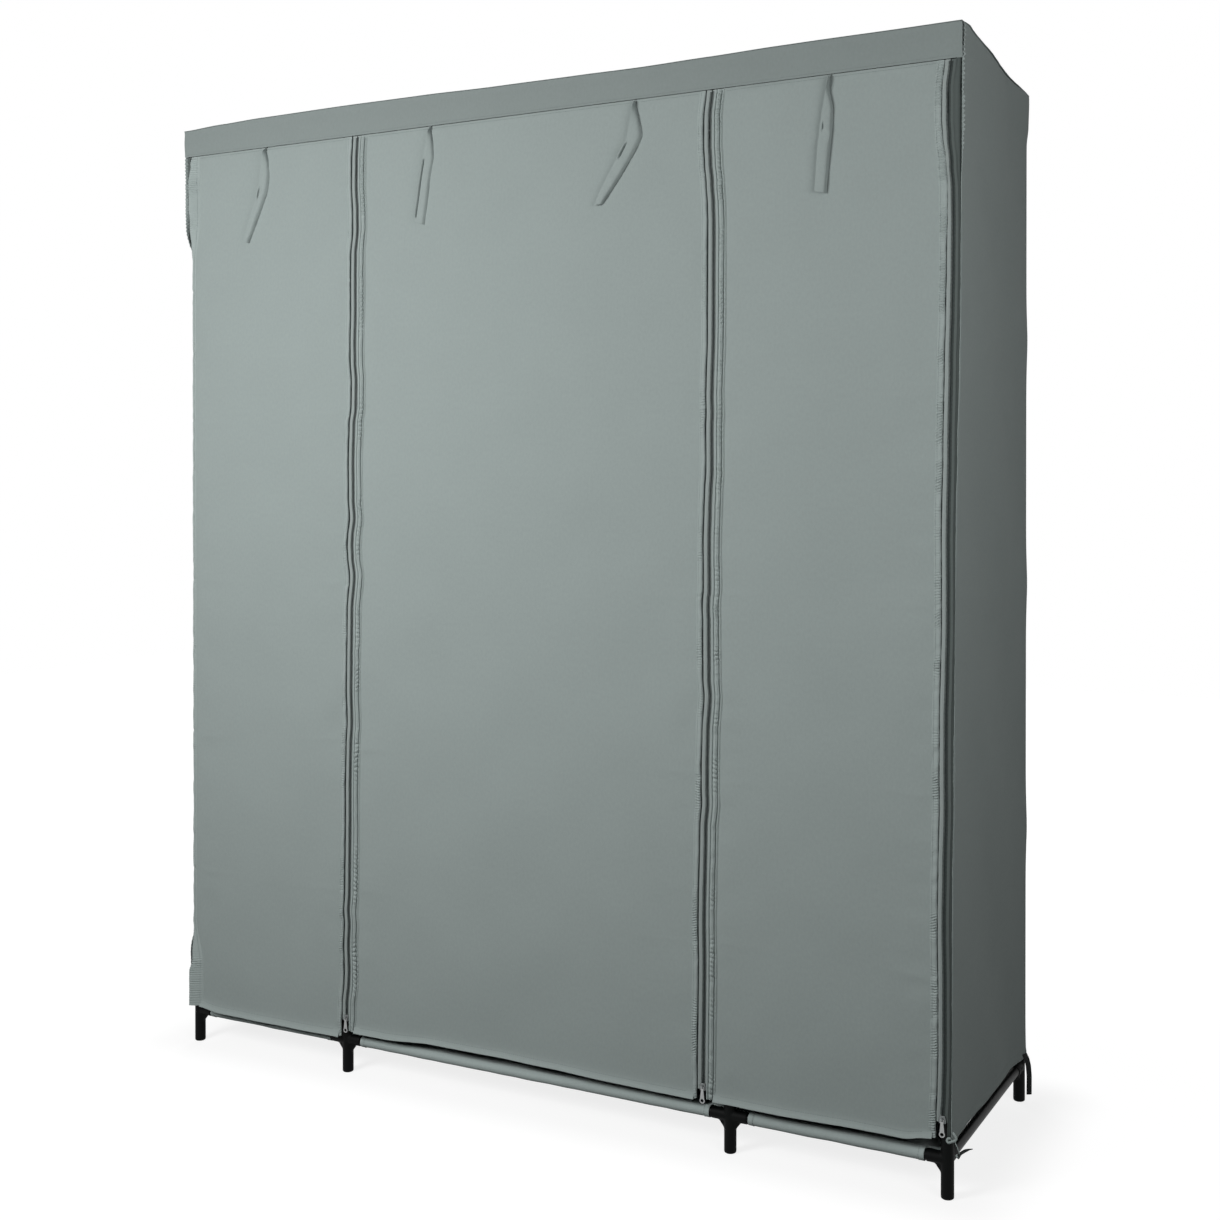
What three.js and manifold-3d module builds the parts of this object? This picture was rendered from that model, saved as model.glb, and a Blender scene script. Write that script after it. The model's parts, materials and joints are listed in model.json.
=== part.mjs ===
// Portable fabric wardrobe: a frame of steel tubes pushed into moulded connectors, fabric shelves
// sleeved over its rods, and a fabric cover whose three doors close with zips.
// Millimetres, X to the right, Y to the back, Z up. The origin is on the floor under the middle.

import * as THREE from 'three';
import { mergeVertices } from 'three/addons/utils/BufferGeometryUtils.js';
import Module from 'manifold-3d';

const wasm = await Module();
wasm.setup();

// Overall layout
const coverHeight = 1750;
const frameWidth = 1472;        // end post to end post, axis to axis
const centreBayWidth = 762;     // middle post to middle post, axis to axis
const frameDepth = 434;         // front posts to rear posts, axis to axis
const bottomRailHeight = 60;    // floor to the axis of the lowest rails
const shelfCount = 3;           // shelves between the bottom and the top of each side bay

// Tubes and moulded connectors
const tubeDiameter = 16;
const tubeWall = 0.5;
const connectorDiameter = 20;
const socketReach = 32;         // post axis to a socket's mouth
const tubeSeat = 12;            // post axis to the end of a tube in its socket
const sleeveHalfHeight = 40;    // the connector's grip on its post, above and below a shelf
const seatGap = 0.3;            // between a tube and its socket
const edgeChamfer = 1.5;
const gussetThickness = 8;
const gussetFootHeight = 39;    // where a gusset leaves the foot
const gussetReach = 8.5;        // from the foot's side to the gusset's tip under the socket

// Hanging rod and its brackets
const hangingRodDrop = 36;      // below the top rails' axis
const bracketWidth = 20;
const bracketSocketLength = 30;

// Cover
const clothThickness = 1.2;
const coverClearance = 0.8;     // between the frame and the cover's top and back
const sideClearance = 1.1;      // between the end posts' connectors and the cover's sides
const frontClearance = 6.5;     // room behind the front for the zips' sliders
const seamGap = 0.3;            // between panels that are sewn together
const headerHeight = 50;
const hingeGap = 0.9;           // under the header, where a door turns on its sewn edge
const cornerFlare = 7;          // the front corners stand further out at the top
const sideHem = 88;
const topSag = 6;
const sleeveGap = 2;            // between a shelf's sleeve and the socket beside it

// Doors
const leftDoorHem = 77;
const centreDoorHem = 83;
const rightDoorHem = 85;
const hemBow = 3;               // the hem's middle is higher than its ends
const doorBelly = 3;            // the middle of a door stands out
const packingFoldPitch = 300;   // creases left by the folded pack
const puckerDepth = 2.5;        // between two creases, beside a zip
const puckerReach = 30;         // from a door's edge to its deepest pucker

// Zips
const cornerZipInset = 14.3;    // corner seam to the teeth
const leftMiddleZipTop = 34;    // teeth inward of the middle post, at the header
const leftMiddleZipFoot = 10;
const rightMiddleZipTop = 29;
const rightMiddleZipFoot = 40;
const cornerSliderHeight = 124;
const middleSliderHeight = 104;
const zipTail = 5;              // teeth below a closed slider's middle
const zipTopStop = 12;          // where the two rows are joined, below the header
const tapeThickness = 0.8;
const tapeWidth = 8;
const cornerTapeWidth = 4.5;    // on the side of the corner strip
const teethWidth = 2.6;         // one row
const teethThickness = 1.9;
const teethSlot = 1;            // between the rows, where the slider's web passes

// Sliders and their pulls
const sliderLength = 12;
const sliderWideEnd = 10.5;
const sliderNarrowEnd = 8;
const sliderPlate = 1.2;
const sliderWeb = 0.4;
const sliderWebLength = 6;
const slipGap = 0.3;
const bailWidth = 2.4;
const bailHole = 2.6;
const bailWall = 0.9;
const pullLength = 25;
const pullWidth = 7;
const pullNeck = 4.6;
const pullThickness = 1.2;
const pullEye = 3.4;
const pullSideGap = 0.4;
const pullShoulder = Math.PI / 5; // where the tab's sides meet the round eye
const eyeFacets = 8;

// Ties
const tieWidth = 11;
const tieLength = 178;
const tieThickness = 0.8;
const tieStandOff = 5.5;
const tieTwist = Math.PI / 4;
const tieTopInset = 3;
const tieSteps = 6;

// Worked out from the sizes above
const tubeRadius = tubeDiameter / 2;
const connectorRadius = connectorDiameter / 2;
const boreRadius = tubeRadius + seatGap;
const postFront = -frameDepth / 2;
const postRear = frameDepth / 2;
const endPost = frameWidth / 2;
const middlePost = centreBayWidth / 2;
const sideBayWidth = endPost - middlePost;
const topRailHeight = coverHeight - clothThickness - coverClearance - connectorRadius;
const levelPitch = (topRailHeight - bottomRailHeight) / (shelfCount + 1);
const shelfHeights = Array.from({ length: shelfCount }, (_, i) => bottomRailHeight + (i + 1) * levelPitch);
const frontPlane = postFront - connectorRadius - frontClearance;
const backPlane = postRear + connectorRadius + coverClearance + clothThickness / 2;
const sidePlane = endPost + connectorRadius + sideClearance + clothThickness / 2;
const panelTop = coverHeight - clothThickness - seamGap;
const seamHeight = coverHeight - headerHeight;
const doorTop = seamHeight - hingeGap;
const tubeFacets = 8;           // round pieces inside the cover
const footFacets = 10;          // feet and rails that show below the cover
const panelSteps = 4;           // along and up a flat panel of the cover
const overrun = 1;
const mergeDistance = 1e-4;

// Materials
const painted = { color: 0x1a1b1c, roughness: 0.42, metalness: 0.35 };
const moulded = { color: 0x0c0d0d, roughness: 0.62, metalness: 0 };
const fabric = { color: 0x8e9896, roughness: 0.93, metalness: 0 };
const webbing = { color: 0x88918f, roughness: 0.85, metalness: 0 };
const plated = { color: 0xb8bbbc, roughness: 0.3, metalness: 0.9 };

const wardrobe = new THREE.Group();

function addPiece(parent, name, geometry, finish, x = 0, y = 0, z = 0) {
  const mesh = new THREE.Mesh(geometry, new THREE.MeshStandardMaterial(finish));
  mesh.name = name;
  mesh.position.set(x, y, z);
  parent.add(mesh);
  return mesh;
}

// Solids: closed geometry in, joined or cut geometry out
function toSolid(geometry) {
  const bare = geometry.clone();
  bare.deleteAttribute('normal');
  bare.deleteAttribute('uv');
  const merged = mergeVertices(bare, mergeDistance);
  return new wasm.Manifold(new wasm.Mesh({
    numProp: 3,
    vertProperties: new Float32Array(merged.attributes.position.array),
    triVerts: new Uint32Array(merged.index.array),
  }));
}

function toGeometry(solid) {
  const { vertProperties, triVerts } = solid.getMesh();
  const geometry = new THREE.BufferGeometry();
  geometry.setAttribute('position', new THREE.BufferAttribute(new Float32Array(vertProperties), 3));
  geometry.setIndex(new THREE.BufferAttribute(new Uint32Array(triVerts), 1));
  geometry.computeVertexNormals();
  return geometry;
}

function join(parts, cuts = []) {
  const joined = parts.map(toSolid).reduce((all, next) => all.add(next));
  return toGeometry(cuts.map(toSolid).reduce((rest, next) => rest.subtract(next), joined));
}

// Directions of the sockets, and a round bar that starts some way along one of them
const right = new THREE.Vector3(1, 0, 0);
const left = new THREE.Vector3(-1, 0, 0);
const rearward = new THREE.Vector3(0, 1, 0);
const forward = new THREE.Vector3(0, -1, 0);
const upward = new THREE.Vector3(0, 0, 1);

function bar(radius, start, end, direction, facets = tubeFacets) {
  const geometry = new THREE.CylinderGeometry(radius, radius, end - start, facets);
  geometry.translate(0, (start + end) / 2, 0);
  return geometry.applyQuaternion(new THREE.Quaternion().setFromUnitVectors(rearward, direction));
}

// A profile of radius and height turned round the Z axis
function revolve(profile, facets = tubeFacets) {
  const points = profile.map(([radius, height]) => new THREE.Vector2(radius, height));
  return new THREE.LatheGeometry(points, facets).rotateX(Math.PI / 2);
}

// A flat outline in X and Z, standing up, with a thickness towards the front
function standing(outline, thickness) {
  const shape = new THREE.Shape(outline.map(([x, z]) => new THREE.Vector2(x, z)));
  const geometry = new THREE.ExtrudeGeometry(shape, { depth: thickness, bevelEnabled: false });
  return geometry.rotateX(Math.PI / 2);
}

// A closed body whose enclosed volume comes out negative has its faces turned round
function facingOut(geometry) {
  const order = geometry.index.array;
  const [a, b, c] = [0, 1, 2].map(() => new THREE.Vector3());
  let volume = 0;
  for (let i = 0; i < order.length; i += 3) {
    [a, b, c].forEach((corner, k) => corner.fromBufferAttribute(geometry.attributes.position, order[i + k]));
    volume += a.dot(b.cross(c));
  }
  if (volume < 0) {
    for (let i = 0; i < order.length; i += 3) {
      [order[i + 1], order[i + 2]] = [order[i + 2], order[i + 1]];
    }
  }
  geometry.computeVertexNormals();
  return geometry;
}

// A thin closed sheet: place(u, v) gives a point of its middle surface and the way its thickness lies
function sheet(columns, rows, thickness, place) {
  const positions = [];
  for (const side of [-1, 1]) {
    for (const v of rows) {
      for (const u of columns) {
        const { point, across } = place(u, v);
        positions.push(...point.clone().addScaledVector(across, side * thickness / 2).toArray());
      }
    }
  }
  const width = columns.length;
  const face = width * rows.length;
  const index = [];
  const quad = (a, b, c, d) => index.push(a, b, c, a, c, d);
  for (let j = 0; j < rows.length - 1; j += 1) {
    for (let i = 0; i < width - 1; i += 1) {
      const corner = j * width + i;
      quad(corner, corner + width, corner + width + 1, corner + 1);
      quad(face + corner, face + corner + 1, face + corner + width + 1, face + corner + width);
    }
  }
  for (let i = 0; i < width - 1; i += 1) {
    const top = face - width + i;
    quad(i, i + 1, face + i + 1, face + i);
    quad(top + 1, top, face + top, face + top + 1);
  }
  for (let j = 0; j < rows.length - 1; j += 1) {
    const start = j * width;
    const end = start + width - 1;
    quad(start + width, start, face + start, face + start + width);
    quad(end, end + width, face + end + width, face + end);
  }
  const geometry = new THREE.BufferGeometry();
  geometry.setAttribute('position', new THREE.Float32BufferAttribute(positions, 3));
  geometry.setIndex(index);
  return facingOut(geometry);
}

const steps = (count) => Array.from({ length: count + 1 }, (_, i) => i / count);
const mix = THREE.MathUtils.lerp;
const bow = (share) => 4 * share * (1 - share);

// Tubes
function tube(length, direction, facets = tubeFacets) {
  const inner = tubeRadius - tubeWall;
  const half = length / 2;
  const profile = [[inner, -half], [tubeRadius, -half], [tubeRadius, half], [inner, half], [inner, -half]];
  const points = profile.map(([radius, along]) => new THREE.Vector2(radius, along));
  const geometry = new THREE.LatheGeometry(points, facets);
  return geometry.applyQuaternion(new THREE.Quaternion().setFromUnitVectors(rearward, direction));
}

const seatedLength = (span) => span - 2 * (tubeSeat + seatGap);

// Connectors at the floor: a foot, a socket for the post and a gusseted socket for each rail
function gusset(direction) {
  const tip = connectorRadius + gussetReach;
  const outline = [
    [0, gussetFootHeight],
    [connectorRadius, gussetFootHeight],
    [tip, bottomRailHeight - connectorRadius],
    [tip, bottomRailHeight - boreRadius - (connectorRadius - boreRadius) / 2],
    [0, bottomRailHeight],
  ];
  const web = standing(outline, gussetThickness).translate(0, gussetThickness / 2, 0);
  return web.rotateZ(Math.atan2(direction.y, direction.x));
}

function footConnector(directions) {
  const body = revolve([
    [0, 0],
    [connectorRadius - edgeChamfer, 0],
    [connectorRadius, edgeChamfer],
    [connectorRadius, bottomRailHeight + socketReach],
    [0, bottomRailHeight + socketReach],
  ], footFacets);
  const arms = directions.map((direction) => bar(connectorRadius, 0, socketReach, direction, footFacets));
  const bore = (direction, facets) => bar(boreRadius, tubeSeat, socketReach + overrun, direction, facets);
  const sockets = [...directions.map((direction) => bore(direction, footFacets)), bore(upward, tubeFacets)];
  [...arms, ...sockets].forEach((piece) => piece.translate(0, 0, bottomRailHeight));
  return join([body, ...arms, ...directions.map(gusset)], sockets);
}

// Posts: tube lengths in a row with the connectors between them and the closed one at the top
function post(topDirections, shelfDirections) {
  const inner = tubeRadius - tubeWall;
  const bottom = bottomRailHeight + tubeSeat + seatGap;
  const profile = [[0, topRailHeight - tubeSeat], [inner, topRailHeight - tubeSeat], [inner, bottom]];
  profile.push([tubeRadius, bottom]);
  for (const height of shelfHeights) {
    profile.push([tubeRadius, height - sleeveHalfHeight], [connectorRadius, height - sleeveHalfHeight]);
    profile.push([connectorRadius, height + sleeveHalfHeight], [tubeRadius, height + sleeveHalfHeight]);
  }
  profile.push([tubeRadius, topRailHeight - socketReach], [connectorRadius, topRailHeight - socketReach]);
  profile.push([connectorRadius, topRailHeight + connectorRadius - edgeChamfer]);
  profile.push([connectorRadius - edgeChamfer, topRailHeight + connectorRadius]);
  profile.push([0, topRailHeight + connectorRadius]);
  const arms = [];
  const sockets = [];
  const addSocket = (direction, height) => {
    const arm = bar(connectorRadius, connectorRadius / 2, socketReach, direction);
    const bore = bar(boreRadius, tubeSeat, socketReach + overrun, direction);
    arms.push(arm.translate(0, 0, height));
    sockets.push(bore.translate(0, 0, height));
  };
  shelfHeights.forEach((height) => shelfDirections.forEach((direction) => addSocket(direction, height)));
  topDirections.forEach((direction) => addSocket(direction, topRailHeight));
  return join([revolve(profile), ...arms], sockets);
}

// Columns of the frame, from left to right, with the ways their sockets face
const columns = [
  { name: 'left_end', x: -endPost, rails: [right], shelves: [right] },
  { name: 'left_middle', x: -middlePost, rails: [left, right], shelves: [left] },
  { name: 'right_middle', x: middlePost, rails: [left, right], shelves: [right] },
  { name: 'right_end', x: endPost, rails: [left], shelves: [left] },
];
const rows = [
  { name: 'front', y: postFront, inward: rearward },
  { name: 'rear', y: postRear, inward: forward },
];
for (const row of rows) {
  for (const column of columns) {
    const place = `${row.name}_${column.name}`;
    const ways = [...column.rails, row.inward];
    addPiece(wardrobe, `foot_${place}`, footConnector(ways), moulded, column.x, row.y);
    const frame = post(ways, [...column.shelves, row.inward]);
    addPiece(wardrobe, `post_${place}`, frame, painted, column.x, row.y);
  }
}

// Rails along the top, and the rails that join front to rear at the top and at the bottom
const bays = [
  { name: 'left', x: -(endPost + middlePost) / 2, width: sideBayWidth },
  { name: 'centre', x: 0, width: centreBayWidth },
  { name: 'right', x: (endPost + middlePost) / 2, width: sideBayWidth },
];
for (const row of rows) {
  for (const bay of bays) {
    const rail = tube(seatedLength(bay.width), right);
    addPiece(wardrobe, `top_rail_${row.name}_${bay.name}`, rail, painted, bay.x, row.y, topRailHeight);
  }
}

// The hanging rod's bracket is threaded on a top depth rail; its socket opens towards the centre bay
const bracketSeat = tubeSeat - connectorRadius;
function bracketedRail(direction) {
  const rail = tube(seatedLength(frameDepth), rearward);
  const collar = bar(connectorRadius, -bracketWidth / 2, bracketWidth / 2, rearward);
  const socket = bar(connectorRadius, -connectorRadius, bracketSocketLength, direction);
  const neck = new THREE.BoxGeometry(bracketWidth, bracketWidth, hangingRodDrop);
  neck.translate(0, 0, -hangingRodDrop / 2);
  const hollow = bar(tubeRadius - tubeWall, -bracketWidth, bracketWidth, rearward);
  const bore = bar(boreRadius, bracketSeat, bracketSocketLength + overrun, direction);
  [socket, bore].forEach((piece) => piece.translate(0, 0, -hangingRodDrop));
  return join([rail, collar, neck, socket], [hollow, bore]);
}

for (const column of columns) {
  const plain = (facets) => tube(seatedLength(frameDepth), rearward, facets);
  const isMiddle = Math.abs(column.x) === middlePost;
  const top = isMiddle ? bracketedRail(column.x < 0 ? right : left) : plain(tubeFacets);
  addPiece(wardrobe, `top_depth_rail_${column.name}`, top, painted, column.x, 0, topRailHeight);
  addPiece(wardrobe, `bottom_depth_rail_${column.name}`, plain(footFacets), painted, column.x, 0, bottomRailHeight);
}
const hangingRod = tube(centreBayWidth - 2 * (bracketSeat + seatGap), right);
addPiece(wardrobe, 'hanging_rod', hangingRod, painted, 0, 0, topRailHeight - hangingRodDrop);

// Shelves: a sheet sleeved over a front and a rear rod, whose sides lie on the depth rods of its bay.
// The shelves between the posts carry their depth rods; the bottom ones lie on the bottom depth rails.
function shelf(bayWidth, withDepthRods, facets) {
  const rodHalf = seatedLength(bayWidth) / 2;
  const sleeveHalf = bayWidth / 2 - socketReach - sleeveGap;
  const parts = [];
  for (const y of [postFront, postRear]) {
    parts.push(bar(tubeRadius, -rodHalf, rodHalf, right, facets).translate(0, y, 0));
    parts.push(bar(tubeRadius + clothThickness, -sleeveHalf, sleeveHalf, right, facets).translate(0, y, 0));
  }
  const panelHeight = withDepthRods ? tubeRadius : tubeRadius + seamGap + clothThickness / 2;
  const lapHalf = frameDepth / 2 - socketReach - sleeveGap;
  const panel = new THREE.BoxGeometry(2 * sleeveHalf, frameDepth, clothThickness);
  const laps = new THREE.BoxGeometry(bayWidth - sleeveGap, 2 * lapHalf, clothThickness);
  parts.push(panel.translate(0, 0, panelHeight), laps.translate(0, 0, panelHeight));
  if (withDepthRods) {
    const depthHalf = seatedLength(frameDepth) / 2;
    for (const x of [-bayWidth / 2, bayWidth / 2]) {
      parts.push(bar(tubeRadius, -depthHalf, depthHalf, rearward, facets).translate(x, 0, 0));
    }
  }
  return join(parts);
}

for (const bay of bays) {
  const sheetAndRods = shelf(bay.width, false, footFacets);
  addPiece(wardrobe, `bottom_shelf_${bay.name}`, sheetAndRods, fabric, bay.x, 0, bottomRailHeight);
}
for (const bay of bays.filter(({ name }) => name !== 'centre')) {
  shelfHeights.forEach((height, i) => {
    const sheetAndRods = shelf(bay.width, true, tubeFacets);
    addPiece(wardrobe, `side_shelf_${bay.name}_${i + 1}`, sheetAndRods, fabric, bay.x, 0, height);
  });
}

// Cover: top, header, back and two sides
const cornerShare = (z) => (z - sideHem) / (coverHeight - sideHem);
const cornerX = (z) => sidePlane + cornerFlare * cornerShare(z);

function coverTop() {
  const frontEdge = frontPlane - clothThickness / 2;
  const rearEdge = backPlane + clothThickness / 2;
  const half = cornerX(coverHeight) + clothThickness / 2;
  const bayShares = [0, endPost - sideBayWidth / 2, middlePost, middlePost / 2].map((x) => x / half);
  const inner = [...bayShares.slice(1), 0, ...bayShares.slice(1).reverse().map((share) => -share)];
  const across = [1, endPost / half, ...inner, -endPost / half, -1].map((share) => (1 - share) / 2);
  const along = [frontEdge, postFront, 0, postRear, rearEdge].map((y) => (y - frontEdge) / (rearEdge - frontEdge));
  const edges = [-endPost, -middlePost, middlePost, endPost];
  return sheet(across, along, clothThickness, (u, v) => {
    const y = mix(frontEdge, rearEdge, v);
    const side = mix(half, sidePlane + clothThickness / 2, v);
    const x = mix(-side, side, u);
    const bayStart = edges.findLast((edge) => edge <= x + overrun) ?? -half;
    const bayEnd = edges.find((edge) => edge > x + overrun) ?? half;
    const inBay = Math.abs(x) < endPost - overrun && Math.abs(y) < postRear;
    const share = (x - bayStart) / (bayEnd - bayStart);
    const sag = inBay ? topSag * bow(THREE.MathUtils.clamp(share, 0, 1)) * (1 - (y / postRear) ** 2) : 0;
    return { point: new THREE.Vector3(x, y, coverHeight - clothThickness / 2 - sag), across: upward };
  });
}

function coverHeader() {
  const place = (u, v) => {
    const z = mix(seamHeight, panelTop, v);
    const half = cornerX(z) - clothThickness / 2 - seamGap;
    return { point: new THREE.Vector3(mix(-half, half, u), frontPlane, z), across: rearward };
  };
  return sheet(steps(panelSteps), steps(1), clothThickness, place);
}

function coverBack() {
  const half = sidePlane - clothThickness / 2 - seamGap;
  const place = (u, v) => {
    const point = new THREE.Vector3(mix(-half, half, u), backPlane, mix(sideHem, panelTop, v));
    return { point, across: rearward };
  };
  return sheet(steps(panelSteps), steps(panelSteps), clothThickness, place);
}

function coverSide(sign) {
  const frontEdge = frontPlane - clothThickness / 2;
  const rearEdge = backPlane + clothThickness / 2;
  const side = sheet(steps(panelSteps), steps(panelSteps), clothThickness, (u, v) => {
    const z = mix(sideHem, panelTop, v);
    const x = mix(cornerX(z), sidePlane, u);
    return { point: new THREE.Vector3(x, mix(frontEdge, rearEdge, u), z), across: right };
  });
  const strip = sheet(steps(1), steps(1), clothThickness, (u, v) => {
    const z = mix(sideHem, seamHeight - seamGap, v);
    const inner = cornerX(z) - cornerZipInset + teethSlot / 2 + teethWidth + cornerTapeWidth + seamGap;
    return { point: new THREE.Vector3(mix(inner, cornerX(z), u), frontPlane, z), across: rearward };
  });
  const joined = join([side, strip]);
  return facingOut(joined.scale(sign, 1, 1));
}

addPiece(wardrobe, 'cover_top', coverTop(), fabric);
addPiece(wardrobe, 'cover_header', coverHeader(), fabric);
addPiece(wardrobe, 'cover_back', coverBack(), fabric);
addPiece(wardrobe, 'cover_side_left', coverSide(-1), fabric);
addPiece(wardrobe, 'cover_side_right', coverSide(1), fabric);

// Zips: each has its own straight line up the front, given where its slider rests and at the header
const cornerZip = (sign) => ({
  foot: sign * (cornerX(cornerSliderHeight) - cornerZipInset),
  head: sign * (cornerX(doorTop) - cornerZipInset),
  height: cornerSliderHeight,
});
const zips = [
  { name: 'left_corner', tapes: [cornerTapeWidth, tapeWidth], ...cornerZip(-1) },
  {
    name: 'left_middle',
    tapes: [tapeWidth, tapeWidth],
    foot: leftMiddleZipFoot - middlePost,
    head: leftMiddleZipTop - middlePost,
    height: middleSliderHeight,
  },
  {
    name: 'right_middle',
    tapes: [tapeWidth, tapeWidth],
    foot: middlePost - rightMiddleZipFoot,
    head: middlePost - rightMiddleZipTop,
    height: middleSliderHeight,
  },
  { name: 'right_corner', tapes: [tapeWidth, cornerTapeWidth], ...cornerZip(1) },
];
const zipX = (zip, z) => mix(zip.foot, zip.head, (z - zip.height) / (doorTop - zip.height));
const rowEdge = teethSlot / 2 + teethWidth;

function zipStrip(zip) {
  const [leftTape, rightTape] = zip.tapes;
  const length = Math.hypot(zip.head - zip.foot, doorTop - zip.height) - seamGap;
  const slotTop = length - zipTopStop;
  const slot = teethSlot / 2;
  const outline = [
    [-rowEdge - leftTape, -zipTail], [-slot, -zipTail], [-slot, slotTop], [slot, slotTop],
    [slot, -zipTail], [rowEdge + rightTape, -zipTail], [rowEdge + rightTape, length], [-rowEdge - leftTape, length],
  ];
  const tape = standing(outline, tapeThickness).translate(0, tapeThickness / 2, 0);
  const teethRows = [-1, 1].map((side) => {
    const row = new THREE.BoxGeometry(teethWidth, teethThickness, slotTop + zipTail);
    return row.translate(side * (slot + teethWidth / 2), 0, (slotTop - zipTail) / 2);
  });
  return join([tape, ...teethRows]);
}

// Slider: two plates joined by a web between the rows of teeth, with a bail for the pull
const plateFront = teethThickness / 2 + slipGap + sliderPlate;
const bailRadius = bailHole / 2 + bailWall;
const bailStandOff = bailHole / 2 + bailWall / 2;

function slider() {
  const half = sliderLength / 2;
  const wide = sliderWideEnd / 2;
  const narrow = sliderNarrowEnd / 2;
  const shoulder = half - edgeChamfer;
  const outline = [
    [-wide + edgeChamfer, -half], [wide - edgeChamfer, -half], [wide, -shoulder], [narrow, shoulder],
    [narrow - edgeChamfer, half], [edgeChamfer - narrow, half], [-narrow, shoulder], [-wide, -shoulder],
  ];
  const front = standing(outline, sliderPlate).translate(0, sliderPlate - plateFront, 0);
  const rear = standing(outline, sliderPlate).translate(0, plateFront, 0);
  const web = new THREE.BoxGeometry(sliderWeb, 2 * plateFront - sliderPlate, sliderWebLength);
  const bail = new THREE.CylinderGeometry(bailRadius, bailRadius, bailWidth, tubeFacets).rotateZ(Math.PI / 2);
  const hole = new THREE.CylinderGeometry(bailHole / 2, bailHole / 2, bailWidth + overrun, tubeFacets);
  const axis = -plateFront - bailStandOff;
  return join([front, rear, web, bail.translate(0, axis, 0)], [hole.rotateZ(Math.PI / 2).translate(0, axis, 0)]);
}

// Pull: a tab whose top bar lies in the bail, with a round eye at its lower end
function pull() {
  const barHalf = pullThickness / 2;
  const neck = pullNeck / 2 + barHalf;
  const windowHalf = bailWidth / 2 + pullSideGap;
  const windowDepth = bailRadius + slipGap;
  const eyeRadius = pullWidth / 2;
  const eyeCentre = barHalf + eyeRadius - pullLength;
  const shape = new THREE.Shape();
  shape.moveTo(neck, barHalf);
  shape.lineTo(-neck, barHalf);
  shape.lineTo(-neck, -windowDepth - barHalf);
  shape.lineTo(-pullNeck / 2, -windowDepth - pullNeck / 2);
  shape.absarc(0, eyeCentre, eyeRadius, Math.PI - pullShoulder, 2 * Math.PI + pullShoulder, false);
  shape.lineTo(pullNeck / 2, -windowDepth - pullNeck / 2);
  shape.lineTo(neck, -windowDepth - barHalf);
  const opening = new THREE.Path();
  opening.moveTo(-windowHalf, -barHalf);
  opening.lineTo(windowHalf, -barHalf);
  opening.lineTo(windowHalf, -windowDepth);
  opening.lineTo(-windowHalf, -windowDepth);
  opening.closePath();
  const eye = new THREE.Path().absarc(0, eyeCentre, pullEye / 2, 0, 2 * Math.PI, true);
  shape.holes.push(opening, eye);
  const settings = { depth: pullThickness, bevelEnabled: false, curveSegments: eyeFacets };
  const tab = new THREE.ExtrudeGeometry(shape, settings);
  return tab.rotateX(Math.PI / 2).translate(0, pullThickness / 2, 0);
}

for (const zip of zips) {
  const line = new THREE.Group();
  line.position.set(zip.foot, frontPlane, zip.height);
  line.rotation.y = Math.atan2(zip.head - zip.foot, doorTop - zip.height);
  wardrobe.add(line);
  addPiece(line, `zip_${zip.name}`, zipStrip(zip), webbing);
  addPiece(line, `slider_${zip.name}`, slider(), plated);
  addPiece(line, `pull_${zip.name}`, pull(), plated, 0, -plateFront - bailStandOff);
}

// Doors: hung from the header's seam between two zips, with puckers between the packing creases
function tie(start, drift) {
  return sheet(steps(1), steps(tieSteps), tieThickness, (u, v) => {
    const turn = tieTwist * v;
    const across = new THREE.Vector3(Math.sin(turn), Math.cos(turn), 0);
    const along = new THREE.Vector3(Math.cos(turn), -Math.sin(turn), 0);
    const stand = clothThickness / 2 + tieStandOff * Math.sqrt(v);
    const z = doorTop - tieTopInset - tieLength * v;
    const point = new THREE.Vector3(start + drift * tieLength * v, frontPlane - stand, z);
    return { point: point.addScaledVector(along, mix(-tieWidth / 2, tieWidth / 2, u)), across };
  });
}

function door(leftZip, rightZip, hem, ties) {
  const leftEdge = (z) => zipX(leftZip, z) + rowEdge + leftZip.tapes[1] + seamGap;
  const rightEdge = (z) => zipX(rightZip, z) - rowEdge - rightZip.tapes[0] - seamGap;
  const width = rightEdge(doorTop) - leftEdge(doorTop);
  const pucker = puckerReach / width;
  const across = [0, pucker, 1 / 2, 1 - pucker, 1];
  const creases = 2 * Math.round((doorTop - hem) / packingFoldPitch);
  const cloth = sheet(across, steps(creases), clothThickness, (u, v) => {
    const lowest = hem + hemBow * bow(u);
    const z = mix(lowest, doorTop, v);
    const edgeDistance = Math.min(u, 1 - u) * width;
    const depth = (edgeDistance / puckerReach) * Math.exp(1 - edgeDistance / puckerReach);
    const between = Math.round(v * creases) % 2;
    const out = doorBelly * bow(u) * Math.sin(Math.PI * v) + puckerDepth * depth * between;
    const x = mix(leftEdge(z), rightEdge(z), u);
    return { point: new THREE.Vector3(x, frontPlane - out, z), across: rearward };
  });
  const tapes = ties.map(({ share, driftShare }) => {
    return tie(mix(leftEdge(doorTop), rightEdge(doorTop), share), driftShare);
  });
  return join([cloth, ...tapes]);
}

const [leftCorner, leftMiddle, rightMiddle, rightCorner] = zips;
const doors = [
  { name: 'left', sides: [leftCorner, leftMiddle], hem: leftDoorHem, tieShares: [[0.46, -0.25]] },
  {
    name: 'centre',
    sides: [leftMiddle, rightMiddle],
    hem: centreDoorHem,
    tieShares: [[0.22, -0.19], [0.81, -0.38]],
  },
  { name: 'right', sides: [rightMiddle, rightCorner], hem: rightDoorHem, tieShares: [[0.5, -0.1]] },
];
for (const { name, sides, hem, tieShares } of doors) {
  const ties = tieShares.map(([share, driftShare]) => ({ share, driftShare }));
  addPiece(wardrobe, `door_${name}`, door(sides[0], sides[1], hem, ties), fabric);
}

export default wardrobe;
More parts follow.
